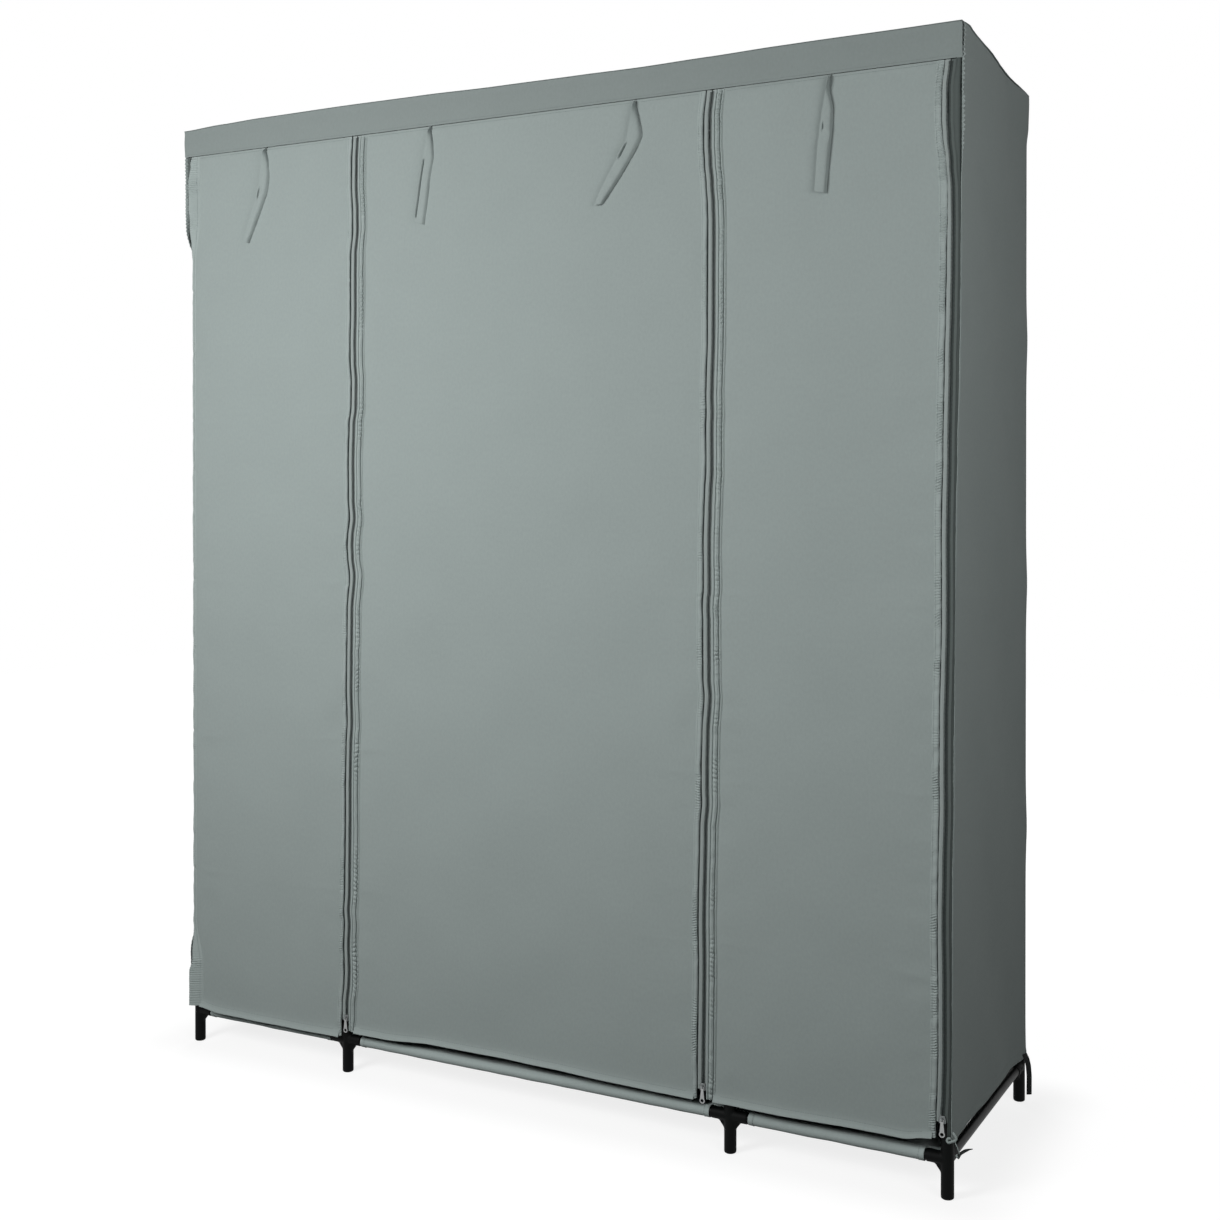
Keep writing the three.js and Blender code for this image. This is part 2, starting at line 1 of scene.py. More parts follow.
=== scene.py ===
"""Portable fabric wardrobe: the looks of its cloth cover, zips, shelves and tube frame."""

import json
import math

import bmesh
import bpy
import numpy as np
from bpy.props import FloatProperty, FloatVectorProperty, IntProperty, PointerProperty
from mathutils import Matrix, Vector

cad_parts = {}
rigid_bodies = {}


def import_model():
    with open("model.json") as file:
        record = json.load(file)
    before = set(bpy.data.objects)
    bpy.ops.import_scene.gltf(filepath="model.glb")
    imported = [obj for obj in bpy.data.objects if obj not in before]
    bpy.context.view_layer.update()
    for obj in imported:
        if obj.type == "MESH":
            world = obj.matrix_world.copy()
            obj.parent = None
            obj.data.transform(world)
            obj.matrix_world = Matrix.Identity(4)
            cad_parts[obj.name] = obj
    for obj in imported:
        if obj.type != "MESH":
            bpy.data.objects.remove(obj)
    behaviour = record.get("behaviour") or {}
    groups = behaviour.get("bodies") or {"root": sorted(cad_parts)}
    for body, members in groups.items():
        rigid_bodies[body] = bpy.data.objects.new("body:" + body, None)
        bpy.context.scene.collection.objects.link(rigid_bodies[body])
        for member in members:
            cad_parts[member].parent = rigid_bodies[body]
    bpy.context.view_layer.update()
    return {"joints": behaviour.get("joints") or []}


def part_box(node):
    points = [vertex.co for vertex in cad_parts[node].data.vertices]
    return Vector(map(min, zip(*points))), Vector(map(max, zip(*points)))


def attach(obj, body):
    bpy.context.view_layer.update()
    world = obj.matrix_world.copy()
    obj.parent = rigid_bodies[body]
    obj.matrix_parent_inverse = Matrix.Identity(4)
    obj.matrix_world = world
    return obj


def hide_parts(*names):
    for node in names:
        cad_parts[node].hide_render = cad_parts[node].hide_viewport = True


bl_info = {
    "name": "Portable fabric wardrobe",
    "version": (1, 0, 0),
    "blender": (4, 5, 0),
    "location": "View3D > Sidebar > Wardrobe",
    "description": "Builds the cloth cover, zips, shelves and tube frame of a fabric wardrobe",
    "category": "Add Mesh",
}

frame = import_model()

MM = 0.001
FLAT = "flat"
FRAME = "frame"


def middle_of(node):
    """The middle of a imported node's box."""
    low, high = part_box(node)
    return (low + high) / 2


def screen(red, green, blue):
    """A colour as a screen shows it, 0 to 255, as linear numbers."""
    def linear(level):
        share = level / 255
        return share / 12.92 if share <= 0.04045 else ((share + 0.055) / 1.055) ** 2.4

    return linear(red), linear(green), linear(blue)


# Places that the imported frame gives
JOINTS = {joint["name"]: joint for joint in frame["joints"]}
COLUMN_NAMES = ("left_end", "left_middle", "right_middle", "right_end")
COLUMNS = {name: middle_of(f"bottom_depth_rail_{name}").x for name in COLUMN_NAMES}
ROWS = {name: middle_of(f"top_rail_{name}_left").y for name in ("front", "rear")}
TOP_RAIL_Z = middle_of("top_rail_front_left").z
BOTTOM_RAIL_Z = middle_of("bottom_depth_rail_left_end").z
SHELF_LEVELS = [middle_of(f"side_shelf_left_{number}").z for number in (1, 2, 3)]
ROD_Z = middle_of("hanging_rod").z
BAYS = {
    "left": ("left_end", "left_middle"),
    "centre": ("left_middle", "right_middle"),
    "right": ("right_middle", "right_end"),
}
FRONT_Y = middle_of("zip_left_middle").y
BACK_Y = middle_of("cover_back").y
SIDE_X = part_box("cover_side_right")[1].x - 0.0076
COVER_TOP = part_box("cover_top")[1].z
SEAM_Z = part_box("cover_header")[0].z
DOOR_TOP = JOINTS["door_centre_lift"]["pos_m"][2]
SIDE_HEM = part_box("cover_side_right")[0].z
DOOR_HEMS = {name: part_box(f"door_{name}")[0].z for name in BAYS}


# Sizes and colours that a user would change
def length_setting(name, description, metres):
    return FloatProperty(name=name, description=description, default=metres, unit="LENGTH")


def power_setting(name, description, watts):
    return FloatProperty(name=name, description=description, default=watts, unit="POWER")


def colour_setting(name, description, red, green, blue):
    """A colour whose default is given as a screen shows it."""
    default = screen(red, green, blue)
    return FloatVectorProperty(name=name, description=description, default=default, subtype="COLOR")


class ClothSettings(bpy.types.PropertyGroup):
    """The non-woven cloth of the cover and shelves, and its thread."""

    thickness: length_setting("Thickness", "One layer of the cloth", 0.0006)
    bond_pitch: length_setting("Bond pitch", "Between the pressed dots of the cloth", 0.0016)
    cover_colour: colour_setting("Cover", "Colour of the cover's cloth", 142, 152, 150)
    # The strip colour is the cover's cloth darkened: painted shade of the hollow beside a corner zip.
    strip_painted_shade_colour: colour_setting("Strip", "Colour of the strips beside the corner zips", 84, 92, 90)
    ribbon_colour: colour_setting("Ribbon", "Colour of the ribbons at the bottom corners", 24, 27, 27)
    shelf_colour: colour_setting("Shelves", "Colour of the shelves' cloth", 142, 152, 150)
    thread_colour: colour_setting("Thread", "Colour of the stitches", 112, 121, 119)
    stitch_pitch: length_setting("Stitch pitch", "From one stitch to the next", 0.004)
    row_pitch: length_setting("Row pitch", "Up the cloth, from one row of the mesh to the next", 0.004)
    fine_pitch: length_setting("Fine pitch", "The same, up a puckered strip", 0.0011)
    belly: length_setting("Belly", "How far the middle of a door stands out", 0.003)
    shelf_sag: length_setting("Shelf sag", "How far the middle of a shelf hangs down", 0.005)


class ZipSettings(bpy.types.PropertyGroup):
    """The four zips."""

    tooth_pitch: length_setting("Tooth pitch", "From one tooth of a row to the next", 0.0019)
    row_half: length_setting("Half width", "From the zip's axis to the outside of its teeth", 0.0037)
    tape_colour: colour_setting("Tape", "Colour of the zip's tape", 146, 155, 153)
    teeth_colour: colour_setting("Teeth", "Colour of the nylon teeth", 44, 50, 49)
    metal_colour: colour_setting("Pull", "Colour of the plated pulls", 160, 162, 162)
    slider_colour: colour_setting("Slider", "Colour of the sliders", 112, 116, 116)


class FrameSettings(bpy.types.PropertyGroup):
    """The steel tubes and moulded connectors."""

    tube_radius: length_setting("Tube radius", "Outside radius of the tubes", 0.008)
    socket_radius: length_setting("Socket radius", "Outside radius of the connectors", 0.010)
    socket_reach: length_setting("Socket reach", "From a post's axis to a socket's mouth", 0.032)
    sleeve_half: length_setting("Sleeve", "Grip of a shelf connector above and below its shelf", 0.040)
    gusset_reach: length_setting("Gusset reach", "From a foot's side to a gusset's tip", 0.0085)
    gusset_foot: length_setting("Gusset foot", "Height at which a gusset leaves its foot", 0.039)
    gusset_thickness: length_setting("Gusset thickness", "Thickness of a foot's gussets", 0.008)
    sides: IntProperty(name="Sides", description="Sides of a round tube", default=32, min=8)
    paint_colour: colour_setting("Paint", "Colour of the tubes", 6, 7, 7)
    plastic_colour: colour_setting("Plastic", "Colour of the connectors", 5, 6, 6)


class StageSettings(bpy.types.PropertyGroup):
    """The camera, floor and lights."""

    camera_place: FloatVectorProperty(
        name="Camera", description="Where the camera stands", default=(1.4163, -2.5459, 1.0590),
        unit="LENGTH")
    camera_turn: FloatVectorProperty(
        name="Turn", description="The camera's rotation", default=(math.pi / 2 - 0.0053, 0, 0.4878),
        unit="ROTATION")
    lens: FloatProperty(name="Lens", description="Focal length in millimetres", default=46.934)
    shift: FloatVectorProperty(
        name="Shift", description="Shift of the picture", default=(-0.008066, -0.09056), size=2)
    ambient: FloatProperty(
        name="Ambient", description="Strength of the light from all round", default=0.012)
    key_power: power_setting("Key", "Power of the large soft lamp", 43.6)
    fill_power: power_setting("Fill", "Power of the lamp that lights the right side", 16.4)
    rear_power: power_setting("Rear", "Power of the lamp behind the wardrobe", 22)
    floor_colour: FloatVectorProperty(
        name="Floor", description="Colour of the floor", default=(0.06, 0.06, 0.06), subtype="COLOR")


# Shader building
class Amount:
    """A number that changes over a surface. Arithmetic on it adds Math nodes."""

    def __init__(self, finish, socket):
        self.finish = finish
        self.socket = socket

    def math(self, operation, *values):
        node = self.finish.node("ShaderNodeMath", {"operation": operation}, dict(enumerate(values)))
        return Amount(self.finish, node.outputs[0])

    def __add__(self, other):
        return self.math("ADD", self, other)

    def __sub__(self, other):
        return self.math("SUBTRACT", self, other)

    def __rsub__(self, other):
        return self.math("SUBTRACT", other, self)

    def __mul__(self, other):
        return self.math("MULTIPLY", self, other)

    __radd__ = __add__
    __rmul__ = __mul__

    def sine(self):
        return self.math("SINE", self)

    def at_least(self, lowest):
        return self.math("MAXIMUM", self, lowest)

    def power(self, exponent):
        return self.math("POWER", self, exponent)


class Finish:
    """A material and the nodes that make it."""

    def __init__(self, name, tree=None):
        if tree is None:
            self.material = bpy.data.materials.new(name)
            self.material.use_nodes = True
            tree = self.material.node_tree
        self.tree = tree
        self.shader = tree.nodes.get("Principled BSDF")

    def node(self, kind, settings=None, inputs=None):
        """A node of that type: its settings are set first, then its sockets get values or links."""
        made = self.tree.nodes.new(kind)
        for key, value in (settings or {}).items():
            setattr(made, key, value)
        for key, value in (inputs or {}).items():
            self.feed(made.inputs[key], value)
        return made

    def feed(self, socket, value):
        if isinstance(value, Amount):
            value = value.socket
        if isinstance(value, bpy.types.NodeSocket):
            self.tree.links.new(value, socket)
        else:
            socket.default_value = value

    def amount(self, socket):
        return Amount(self, socket)

    def flat_place(self):
        """The place on the flat cloth, in metres."""
        return self.node("ShaderNodeUVMap", {"uv_map": FLAT}).outputs["UV"]

    def solid_place(self):
        return self.node("ShaderNodeTexCoord").outputs["Object"]

    def stretched(self, place, factors):
        node = self.node("ShaderNodeVectorMath", {"operation": "MULTIPLY"}, {0: place, 1: factors})
        return node.outputs["Vector"]

    def noise(self, place, scale, detail=2.0, roughness=0.5):
        """Noise between 0 and 1 whose coarsest grain is about one part in scale of a metre."""
        inputs = {"Vector": place, "Scale": scale, "Detail": detail, "Roughness": roughness}
        return self.amount(self.node("ShaderNodeTexNoise", None, inputs).outputs["Fac"])

    def blend(self, low, high, share):
        """A colour from low to high as share goes from 0 to 1."""
        settings = {"data_type": "RGBA", "clamp_factor": True}
        return self.node("ShaderNodeMix", settings, {0: share, 6: (*low, 1), 7: (*high, 1)}).outputs[2]

    def bump(self, height, distance, strength=1.0):
        inputs = {"Height": height, "Distance": distance, "Strength": strength}
        return self.node("ShaderNodeBump", None, inputs).outputs["Normal"]

    def ramp(self, value, start, end, low, high):
        """A smooth step from low to high as value goes from start to end."""
        inputs = {"Value": value, "From Min": start, "From Max": end, "To Min": low, "To Max": high}
        node = self.node("ShaderNodeMapRange", {"interpolation_type": "SMOOTHSTEP"}, inputs)
        return self.amount(node.outputs[0])

    def seen_by(self, *rays):
        """1 for rays of these kinds, else 0."""
        path = self.node("ShaderNodeLightPath")
        seen, *others = (self.amount(path.outputs[ray]) for ray in rays)
        for other in others:
            seen = seen.math("MAXIMUM", seen, other)
        return seen

    def mix(self, share, first, second):
        """The output of a mix of two shader nodes."""
        inputs = {0: share, 1: first.outputs[0], 2: second.outputs[0]}
        return self.node("ShaderNodeMixShader", None, inputs)

    def surface(self, **values):
        """Sets sockets of the surface shader by name, with _ for a space."""
        for name, value in values.items():
            self.feed(self.shader.inputs[name.replace("_", " ")], value)
        return self.material


def scaled(colour, factor):
    return tuple(channel * factor for channel in colour)


def cloth_finish(name, colour, bond_pitch):
    """Non-woven cloth: pressed dots in staggered rows, matted fibres and a faint unevenness."""
    finish = Finish(name)
    place = finish.flat_place()
    split = finish.node("ShaderNodeSeparateXYZ", None, {"Vector": place})
    across = finish.amount(split.outputs["X"])
    along = finish.amount(split.outputs["Y"])
    turns = 2 * math.pi / (2 * bond_pitch)
    wave = (across * turns).sine() * (along * turns).sine()
    dots = (wave * wave).power(1.5)
    fibres = finish.noise(place, 700, 4, 0.7)
    matting = finish.noise(finish.stretched(place, (1, 0.6, 1)), 230, 4, 0.65)
    cloud = finish.noise(place, 9, 4, 0.6)
    shade = dots * 0.16 + fibres * 0.24 + matting * 0.44 + cloud * 0.16
    return finish.surface(
        Base_Color=finish.blend(scaled(colour, 0.80), scaled(colour, 1.20), shade),
        Roughness=0.84 + fibres * 0.12,
        Specular_IOR_Level=0.22,
        Sheen_Weight=0.08,
        Sheen_Roughness=0.6,
        Normal=finish.bump(fibres * 0.6 + matting * 0.7 - dots * 0.8, 0.00022, 0.5),
    )


RIB_PITCH = 0.0009


def tape_finish(name, colour):
    """Woven tape with fine ribs across."""
    finish = Finish(name)
    place = finish.flat_place()
    split = finish.node("ShaderNodeSeparateXYZ", None, {"Vector": place})
    diagonal = finish.amount(split.outputs["X"]) + finish.amount(split.outputs["Y"])
    weave = (diagonal * (2 * math.pi / RIB_PITCH)).sine() * 0.5 + 0.5
    fuzz = finish.noise(place, 1400, 3, 0.6)
    return finish.surface(
        Base_Color=finish.blend(scaled(colour, 0.8), scaled(colour, 1.15), weave * 0.5 + fuzz * 0.5),
        Roughness=0.75 + fuzz * 0.15,
        Specular_IOR_Level=0.3,
        Normal=finish.bump(weave + fuzz * 0.4, 0.00012, 0.6),
    )


def thread_finish(name, colour):
    """Twisted sewing thread."""
    finish = Finish(name)
    twist = finish.noise(finish.stretched(finish.solid_place(), (1, 1, 0.4)), 2500, 2)
    return finish.surface(
        Base_Color=finish.blend(scaled(colour, 0.75), scaled(colour, 1.2), twist),
        Roughness=0.6 + twist * 0.2,
        Normal=finish.bump(twist, 0.0001, 0.5),
    )


def nylon_finish(name, colour):
    """The dull shine of nylon teeth."""
    finish = Finish(name)
    grain = finish.noise(finish.solid_place(), 900, 3)
    return finish.surface(
        Base_Color=finish.blend(scaled(colour, 0.8), scaled(colour, 1.25), grain),
        Roughness=0.5 + grain * 0.2,
        Specular_IOR_Level=0.2,
        Normal=finish.bump(grain, 0.00006, 0.4),
    )


def plastic_finish(name, colour):
    """Black moulded plastic with a fine spark-eroded grain and dull scuffs."""
    finish = Finish(name)
    place = finish.solid_place()
    grain = finish.noise(place, 1500, 3, 0.6)
    scuffs = finish.noise(finish.stretched(place, (1, 1, 0.25)), 70, 5, 0.65)
    return finish.surface(
        Base_Color=finish.blend(scaled(colour, 0.75), scaled(colour, 2.2), scuffs.power(2.0)),
        Roughness=0.42 + scuffs * 0.25 + grain * 0.06,
        Specular_IOR_Level=0.07,
        Normal=finish.bump(grain * 0.5 + scuffs * 0.3, 0.00012, 0.5),
    )


def paint_finish(name, colour):
    """Semi-gloss black paint on steel tube."""
    finish = Finish(name)
    place = finish.solid_place()
    peel = finish.noise(place, 420, 2, 0.5)
    dust = finish.noise(place, 40, 5, 0.7)
    return finish.surface(
        Base_Color=finish.blend(scaled(colour, 0.8), scaled(colour, 2.0), dust.power(3.0)),
        Roughness=0.30 + dust * 0.22,
        Specular_IOR_Level=0.10,
        Normal=finish.bump(peel, 0.0001, 0.25),
    )


def metal_finish(name, colour, dullness):
    """Plated zinc with fine scratches and tarnish."""
    finish = Finish(name)
    place = finish.solid_place()
    scratches = finish.noise(finish.stretched(place, (6, 6, 1)), 500, 4, 0.7)
    tarnish = finish.noise(place, 180, 3, 0.6)
    return finish.surface(
        Base_Color=finish.blend(scaled(colour, 0.6), scaled(colour, 1.1), tarnish),
        Metallic=0.85,
        Roughness=dullness + scratches * 0.2,
        Normal=finish.bump(scratches, 0.00005, 0.4),
    )


# Mesh building
def quads_of(numbers):
    """The faces between the points of a grid of point numbers."""
    corners = numbers[:-1, :-1], numbers[:-1, 1:], numbers[1:, 1:], numbers[1:, :-1]
    return np.stack(corners, -1).reshape(-1, 4)


def volume_of(points, faces):
    """Signed volume inside closed faces."""
    total = 0.0
    for block in faces:
        first = points[block[:, 0]]
        for corner in range(1, block.shape[1] - 1):
            cross = np.cross(points[block[:, corner]], points[block[:, corner + 1]])
            total += np.einsum("ij,ij->", first, cross) / 6
    return total


SMOOTH_ANGLE = math.radians(42)
METAL_ANGLE = math.radians(40)
THREAD_RADIUS = 0.00032
UP = np.array([0, 0, 1.0])
FORWARD = np.array([0, -1.0, 0])
BACKWARD = np.array([0, 1.0, 0])


def unit(vectors):
    return vectors / np.linalg.norm(vectors, axis=-1, keepdims=True)


def lengths_along(line):
    """The distance along a line to each of its points."""
    return np.concatenate([[0], np.cumsum(np.linalg.norm(np.diff(line, axis=0), axis=1))])


def length_of(line):
    return float(np.linalg.norm(np.diff(line, axis=0), axis=1).sum())


def line_at(places, lengths, line):
    """The points of a line, or its other numbers, at distances along it."""
    return np.stack([np.interp(places, lengths, column) for column in line.T], 1)


class Shape:
    """Closed solids gathered into one mesh: points, faces and places on the flat cloth."""

    def __init__(self):
        self.points, self.faces, self.flats, self.count = [], [], [], 0

    def add(self, points, faces, flat=None):
        points = np.asarray(points, float)
        centred = points - points.mean(0)
        if volume_of(centred, faces) < 0:
            faces = [block[:, ::-1] for block in faces]
        self.points.append(points)
        self.faces += [block + self.count for block in faces]
        self.flats.append(np.zeros((len(points), 2)) if flat is None else flat)
        self.count += len(points)
        return self

    def mesh(self, name, smooth_angle=SMOOTH_ANGLE):
        points, flats = np.concatenate(self.points), np.concatenate(self.flats)
        loops = np.concatenate([block.ravel() for block in self.faces])
        sizes = np.concatenate([np.full(len(block), block.shape[1]) for block in self.faces])
        starts = np.concatenate([[0], np.cumsum(sizes)[:-1]])
        mesh = bpy.data.meshes.new(name)
        mesh.vertices.add(len(points))
        mesh.vertices.foreach_set("co", points.astype(np.float32).ravel())
        mesh.loops.add(len(loops))
        mesh.loops.foreach_set("vertex_index", loops.astype(np.int32))
        mesh.polygons.add(len(sizes))
        mesh.polygons.foreach_set("loop_start", starts.astype(np.int32))
        mesh.update(calc_edges=True)
        mesh.uv_layers.new(name=FLAT).data.foreach_set("uv", flats[loops].astype(np.float32).ravel())
        mesh.polygons.foreach_set("use_smooth", np.ones(len(sizes), bool))
        mesh.set_sharp_from_angle(angle=smooth_angle)
        return mesh


def place_piece(name, mesh, finish, body, replaces=()):
    """Shows a mesh as a piece of the wardrobe that rides on a body."""
    piece = bpy.data.objects.new(name, mesh)
    bpy.context.scene.collection.objects.link(piece)
    mesh.materials.clear()
    mesh.materials.append(finish)
    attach(piece, body)
    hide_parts(*replaces)
    return piece


def place_cloth(name, grid, thickness, finish, body=FRAME, replaces=()):
    """Shows a sheet of cloth, whose middle surface goes through a grid of points, as a piece."""
    mesh = add_cloth(Shape(), grid, thickness).mesh(name)
    return place_piece(name, mesh, finish, body, replaces)


def place_stitches(name, threads, finishes, body=FRAME):
    """Shows the stitches of a piece."""
    return place_piece(f"{name}_stitches", threads.mesh("stitches"), finishes["thread"], body)


def normals_of(grid):
    """Unit normals of a grid of points."""
    down, along = np.gradient(grid, axis=0), np.gradient(grid, axis=1)
    normals = np.cross(along, down)
    return normals / np.maximum(np.linalg.norm(normals, axis=-1, keepdims=True), 1e-12)


def flat_places(grid):
    """Where each point of a grid of cloth lies when the cloth is flat."""
    steps_down = np.linalg.norm(np.diff(grid, axis=0), axis=-1)
    steps_along = np.linalg.norm(np.diff(grid, axis=1), axis=-1)
    down = np.concatenate([np.zeros((1, grid.shape[1])), np.cumsum(steps_down, 0)])
    along = np.concatenate([np.zeros((grid.shape[0], 1)), np.cumsum(steps_along, 1)], 1)
    return np.stack([along, down.mean(1, keepdims=True) + 0 * down], -1).reshape(-1, 2)


def add_cloth(shape, grid, thickness):
    """Adds a sheet of cloth whose middle surface goes through a grid of points."""
    rows, columns = grid.shape[:2]
    offset = normals_of(grid) * thickness / 2
    points = np.concatenate([(grid + offset).reshape(-1, 3), (grid - offset).reshape(-1, 3)])
    numbers = np.arange(rows * columns).reshape(rows, columns)
    under = numbers + rows * columns
    edge = np.concatenate([numbers[0, :-1], numbers[:-1, -1], numbers[-1, :0:-1], numbers[:0:-1, 0]])
    after = np.roll(edge, -1)
    rim = np.stack([after, edge, edge + rows * columns, after + rows * columns], 1)
    flat = flat_places(grid)
    return shape.add(
        points, [quads_of(numbers), quads_of(under)[:, ::-1], rim], np.concatenate([flat, flat]))


def ring_faces(rings, sides):
    """Faces of a tube of rings of points, with a face over each end."""
    numbers = np.arange(rings * sides).reshape(rings, sides)
    closed = np.concatenate([numbers, numbers[:, :1]], 1)
    return [quads_of(closed), numbers[:1, ::-1], numbers[-1:]]


def add_turned(shape, start, end, profile, sides):
    """Adds a round solid along start to end; profile holds pairs of share along it and radius."""
    start, end = np.asarray(start, float), np.asarray(end, float)
    along = (end - start) / np.linalg.norm(end - start)
    helper = np.eye(3)[np.argmin(np.abs(along))]
    first = np.cross(along, helper)
    first /= np.linalg.norm(first)
    second = np.cross(along, first)
    angles = np.linspace(0, 2 * math.pi, sides, endpoint=False)
    circle = np.cos(angles)[:, None] * first + np.sin(angles)[:, None] * second
    rings = [start + along * distance + circle * radius for distance, radius in profile]
    return shape.add(np.concatenate(rings), ring_faces(len(profile), sides))


def rod_profile(length, radius, chamfer):
    return [(0, radius - chamfer), (chamfer, radius), (length - chamfer, radius),
            (length, radius - chamfer)]


def add_rod(shape, start, end, radius, sides, chamfer=0.0006):
    length = float(np.linalg.norm(np.asarray(end, float) - np.asarray(start, float)))
    return add_turned(shape, start, end, rod_profile(length, radius, chamfer), sides)


def scatter(shape, template, faces, centres, along, across, out):
    """Adds a copy of a small solid at each centre, turned to the directions given there."""
    offsets = (
        template[None, :, :1] * along[:, None]
        + template[None, :, 1:2] * across[:, None]
        + template[None, :, 2:] * out[:, None]
    )
    points = (centres[:, None] + offsets).reshape(-1, 3)
    shifts = np.arange(len(centres))[:, None, None] * len(template)
    blocks = [(block[None] + shifts).reshape(-1, block.shape[1]) for block in faces]
    return shape.add(points, blocks)


def capsule(length, radius, sides=6):
    """A small rounded bar along X."""
    profile = ((-0.5, 0.35), (-0.36, 0.9), (0.36, 0.9), (0.5, 0.35))
    angles = np.linspace(0, 2 * math.pi, sides, endpoint=False)
    rings = []
    for share, size in profile:
        first, second = np.cos(angles) * radius * size, np.sin(angles) * radius * size
        rings.append(np.stack([np.full(sides, share * length), first, second], 1))
    return np.concatenate(rings), ring_faces(len(profile), sides)


def seam(shape, line, out, cloth):
    """Stitches along a line of points; out is the cloth's outward direction at each point."""
    line, out = np.asarray(line, float), np.broadcast_to(out, np.shape(line)).astype(float)
    lengths = lengths_along(line)
    places = np.arange(cloth.stitch_pitch / 2, lengths[-1], cloth.stitch_pitch)
    along = unit(line_at(places + MM, lengths, line) - line_at(places - MM, lengths, line))
    across = unit(np.cross(line_at(places, lengths, out), along))
    normal = np.cross(along, across)
    template, faces = capsule(cloth.stitch_pitch * 0.76, THREAD_RADIUS)
    centres = line_at(places, lengths, line) + normal * THREAD_RADIUS * 0.4
    return scatter(shape, template, faces, centres, along, across, normal)


def sew(shape, line, out, cloth):
    """Stitches on the outside of a cloth whose middle surface the line follows."""
    return seam(shape, line + out * cloth.thickness / 2, out, cloth)


# Forms that the cloth takes
def ease(value, start, end):
    """0 before start, 1 after end, smooth between."""
    share = np.clip((value - start) / (end - start), 0, 1)
    return share * share * (3 - 2 * share)


def hill(value, middle, half_width):
    return np.exp(-((value - middle) / half_width) ** 2)


def through(value, knots):
    """A smooth line through given knots (place, amount), level at each knot."""
    places, amounts = np.array(knots, float).T
    value = np.clip(np.asarray(value, float), places[0], places[-1])
    index = np.clip(np.searchsorted(places, value, side="right") - 1, 0, len(places) - 2)
    share = (value - places[index]) / (places[index + 1] - places[index])
    return amounts[index] + (amounts[index + 1] - amounts[index]) * share * share * (3 - 2 * share)


def drift(seed, shortest, longest, count=14):
    """Gentle unevenness of a sheet: a field of waves, about -1 to 1, over two lengths in metres."""
    rng = np.random.default_rng(seed)
    lengths = np.exp(rng.uniform(math.log(shortest), math.log(longest), count))
    angles = rng.uniform(0, math.pi, count)
    phases = rng.uniform(0, 2 * math.pi, count)
    weights = (lengths / longest) ** 0.5
    weights /= np.sqrt((weights ** 2).sum())

    def field(first, second):
        first, second = np.broadcast_arrays(first, second)
        total = np.zeros(first.shape)
        for length, angle, phase, weight in zip(lengths, angles, phases, weights):
            turn = (first * math.cos(angle) + second * math.sin(angle)) * 2 * math.pi / length
            total += weight * np.sin(turn + phase)
        return total

    return field


def drift_along(seed, shortest, longest, places):
    """The same unevenness along a line of places."""
    return drift(seed, shortest, longest)(places, 0 * places)


def spread(start, end, pitch):
    """Even places from start to end, about pitch apart."""
    return np.linspace(start, end, max(2, round(abs(end - start) / pitch) + 1))


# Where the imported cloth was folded: the creases that stay in it
CREASES = (0.335, 0.600, 0.890, 1.195, 1.440)

# How far each zip strays sideways from its straight line, by height
ZIP_STRAY = {
    "left_corner": (
        (0.135, 0), (0.34, 0.0015), (0.62, -0.0008), (0.92, 0.0016), (1.2, -0.001), (1.5, 0.001),
        (1.62, 0)),
    "left_middle": (
        (0.13, 0), (0.17, 0.0035), (0.185, 0.0041), (0.24, 0.002), (0.275, 0.0031), (0.3, 0.0008),
        (0.33, 0.0026), (0.45, 0.0025), (0.53, 0.0016), (0.6, 0.002), (0.64, 0.0038), (0.705, 0.0012),
        (0.845, 0.0012), (0.905, 0.0057), (0.94, 0.0011), (0.96, -0.0003), (0.975, 0.0003),
        (1.01, 0.0042), (1.045, 0.0013), (1.115, -0.0002), (1.18, 0.0009), (1.21, 0.0048),
        (1.255, 0.0048), (1.295, 0.0016), (1.335, 0.0007), (1.375, 0.0014), (1.45, 0.0004),
        (1.485, 0.0004), (1.53, 0.0041), (1.56, 0.0034), (1.612, 0), (1.655, 0), (1.7, 0.0018)),
    "right_middle": (
        (0.13, 0), (0.3, 0.0008), (0.37, -0.0004), (0.52, 0.0015), (0.56, 0.0043), (0.58, 0.0035),
        (0.62, 0.0033), (0.67, 0.004), (0.73, 0.0075), (0.76, 0.0053), (0.85, 0.0043), (0.87, 0.0033),
        (0.885, 0.0037), (0.9, 0.0051), (0.98, 0.0041), (1.03, 0.0052), (1.06, 0.0062), (1.09, 0.008),
        (1.165, 0.0073), (1.18, 0.008), (1.21, 0.0071), (1.31, 0.0092), (1.455, 0.0088),
        (1.485, 0.0086), (1.515, 0.0076), (1.55, 0.0051), (1.585, 0.0019), (1.612, 0.0003),
        (1.655, 0.0003), (1.7, 0.0045)),
    "right_corner": (
        (0.13, 0), (0.165, 0.0014), (0.213, 0.0022), (0.317, 0.0016), (0.42, 0.0001), (0.5, 0.0008),
        (0.585, 0.0024), (0.65, 0.0017), (0.719, 0.0017), (0.79, 0.003), (0.852, 0.0041),
        (0.905, 0.004), (0.986, 0.0033), (1.12, 0.0048), (1.254, 0.0065), (1.33, 0.008),
        (1.387, 0.0088), (1.455, 0.009), (1.505, 0.0082), (1.545, 0.0054), (1.585, 0.0018), (1.612, 0.0003),
        (1.655, 0.0003), (1.7, 0.0045)),
}

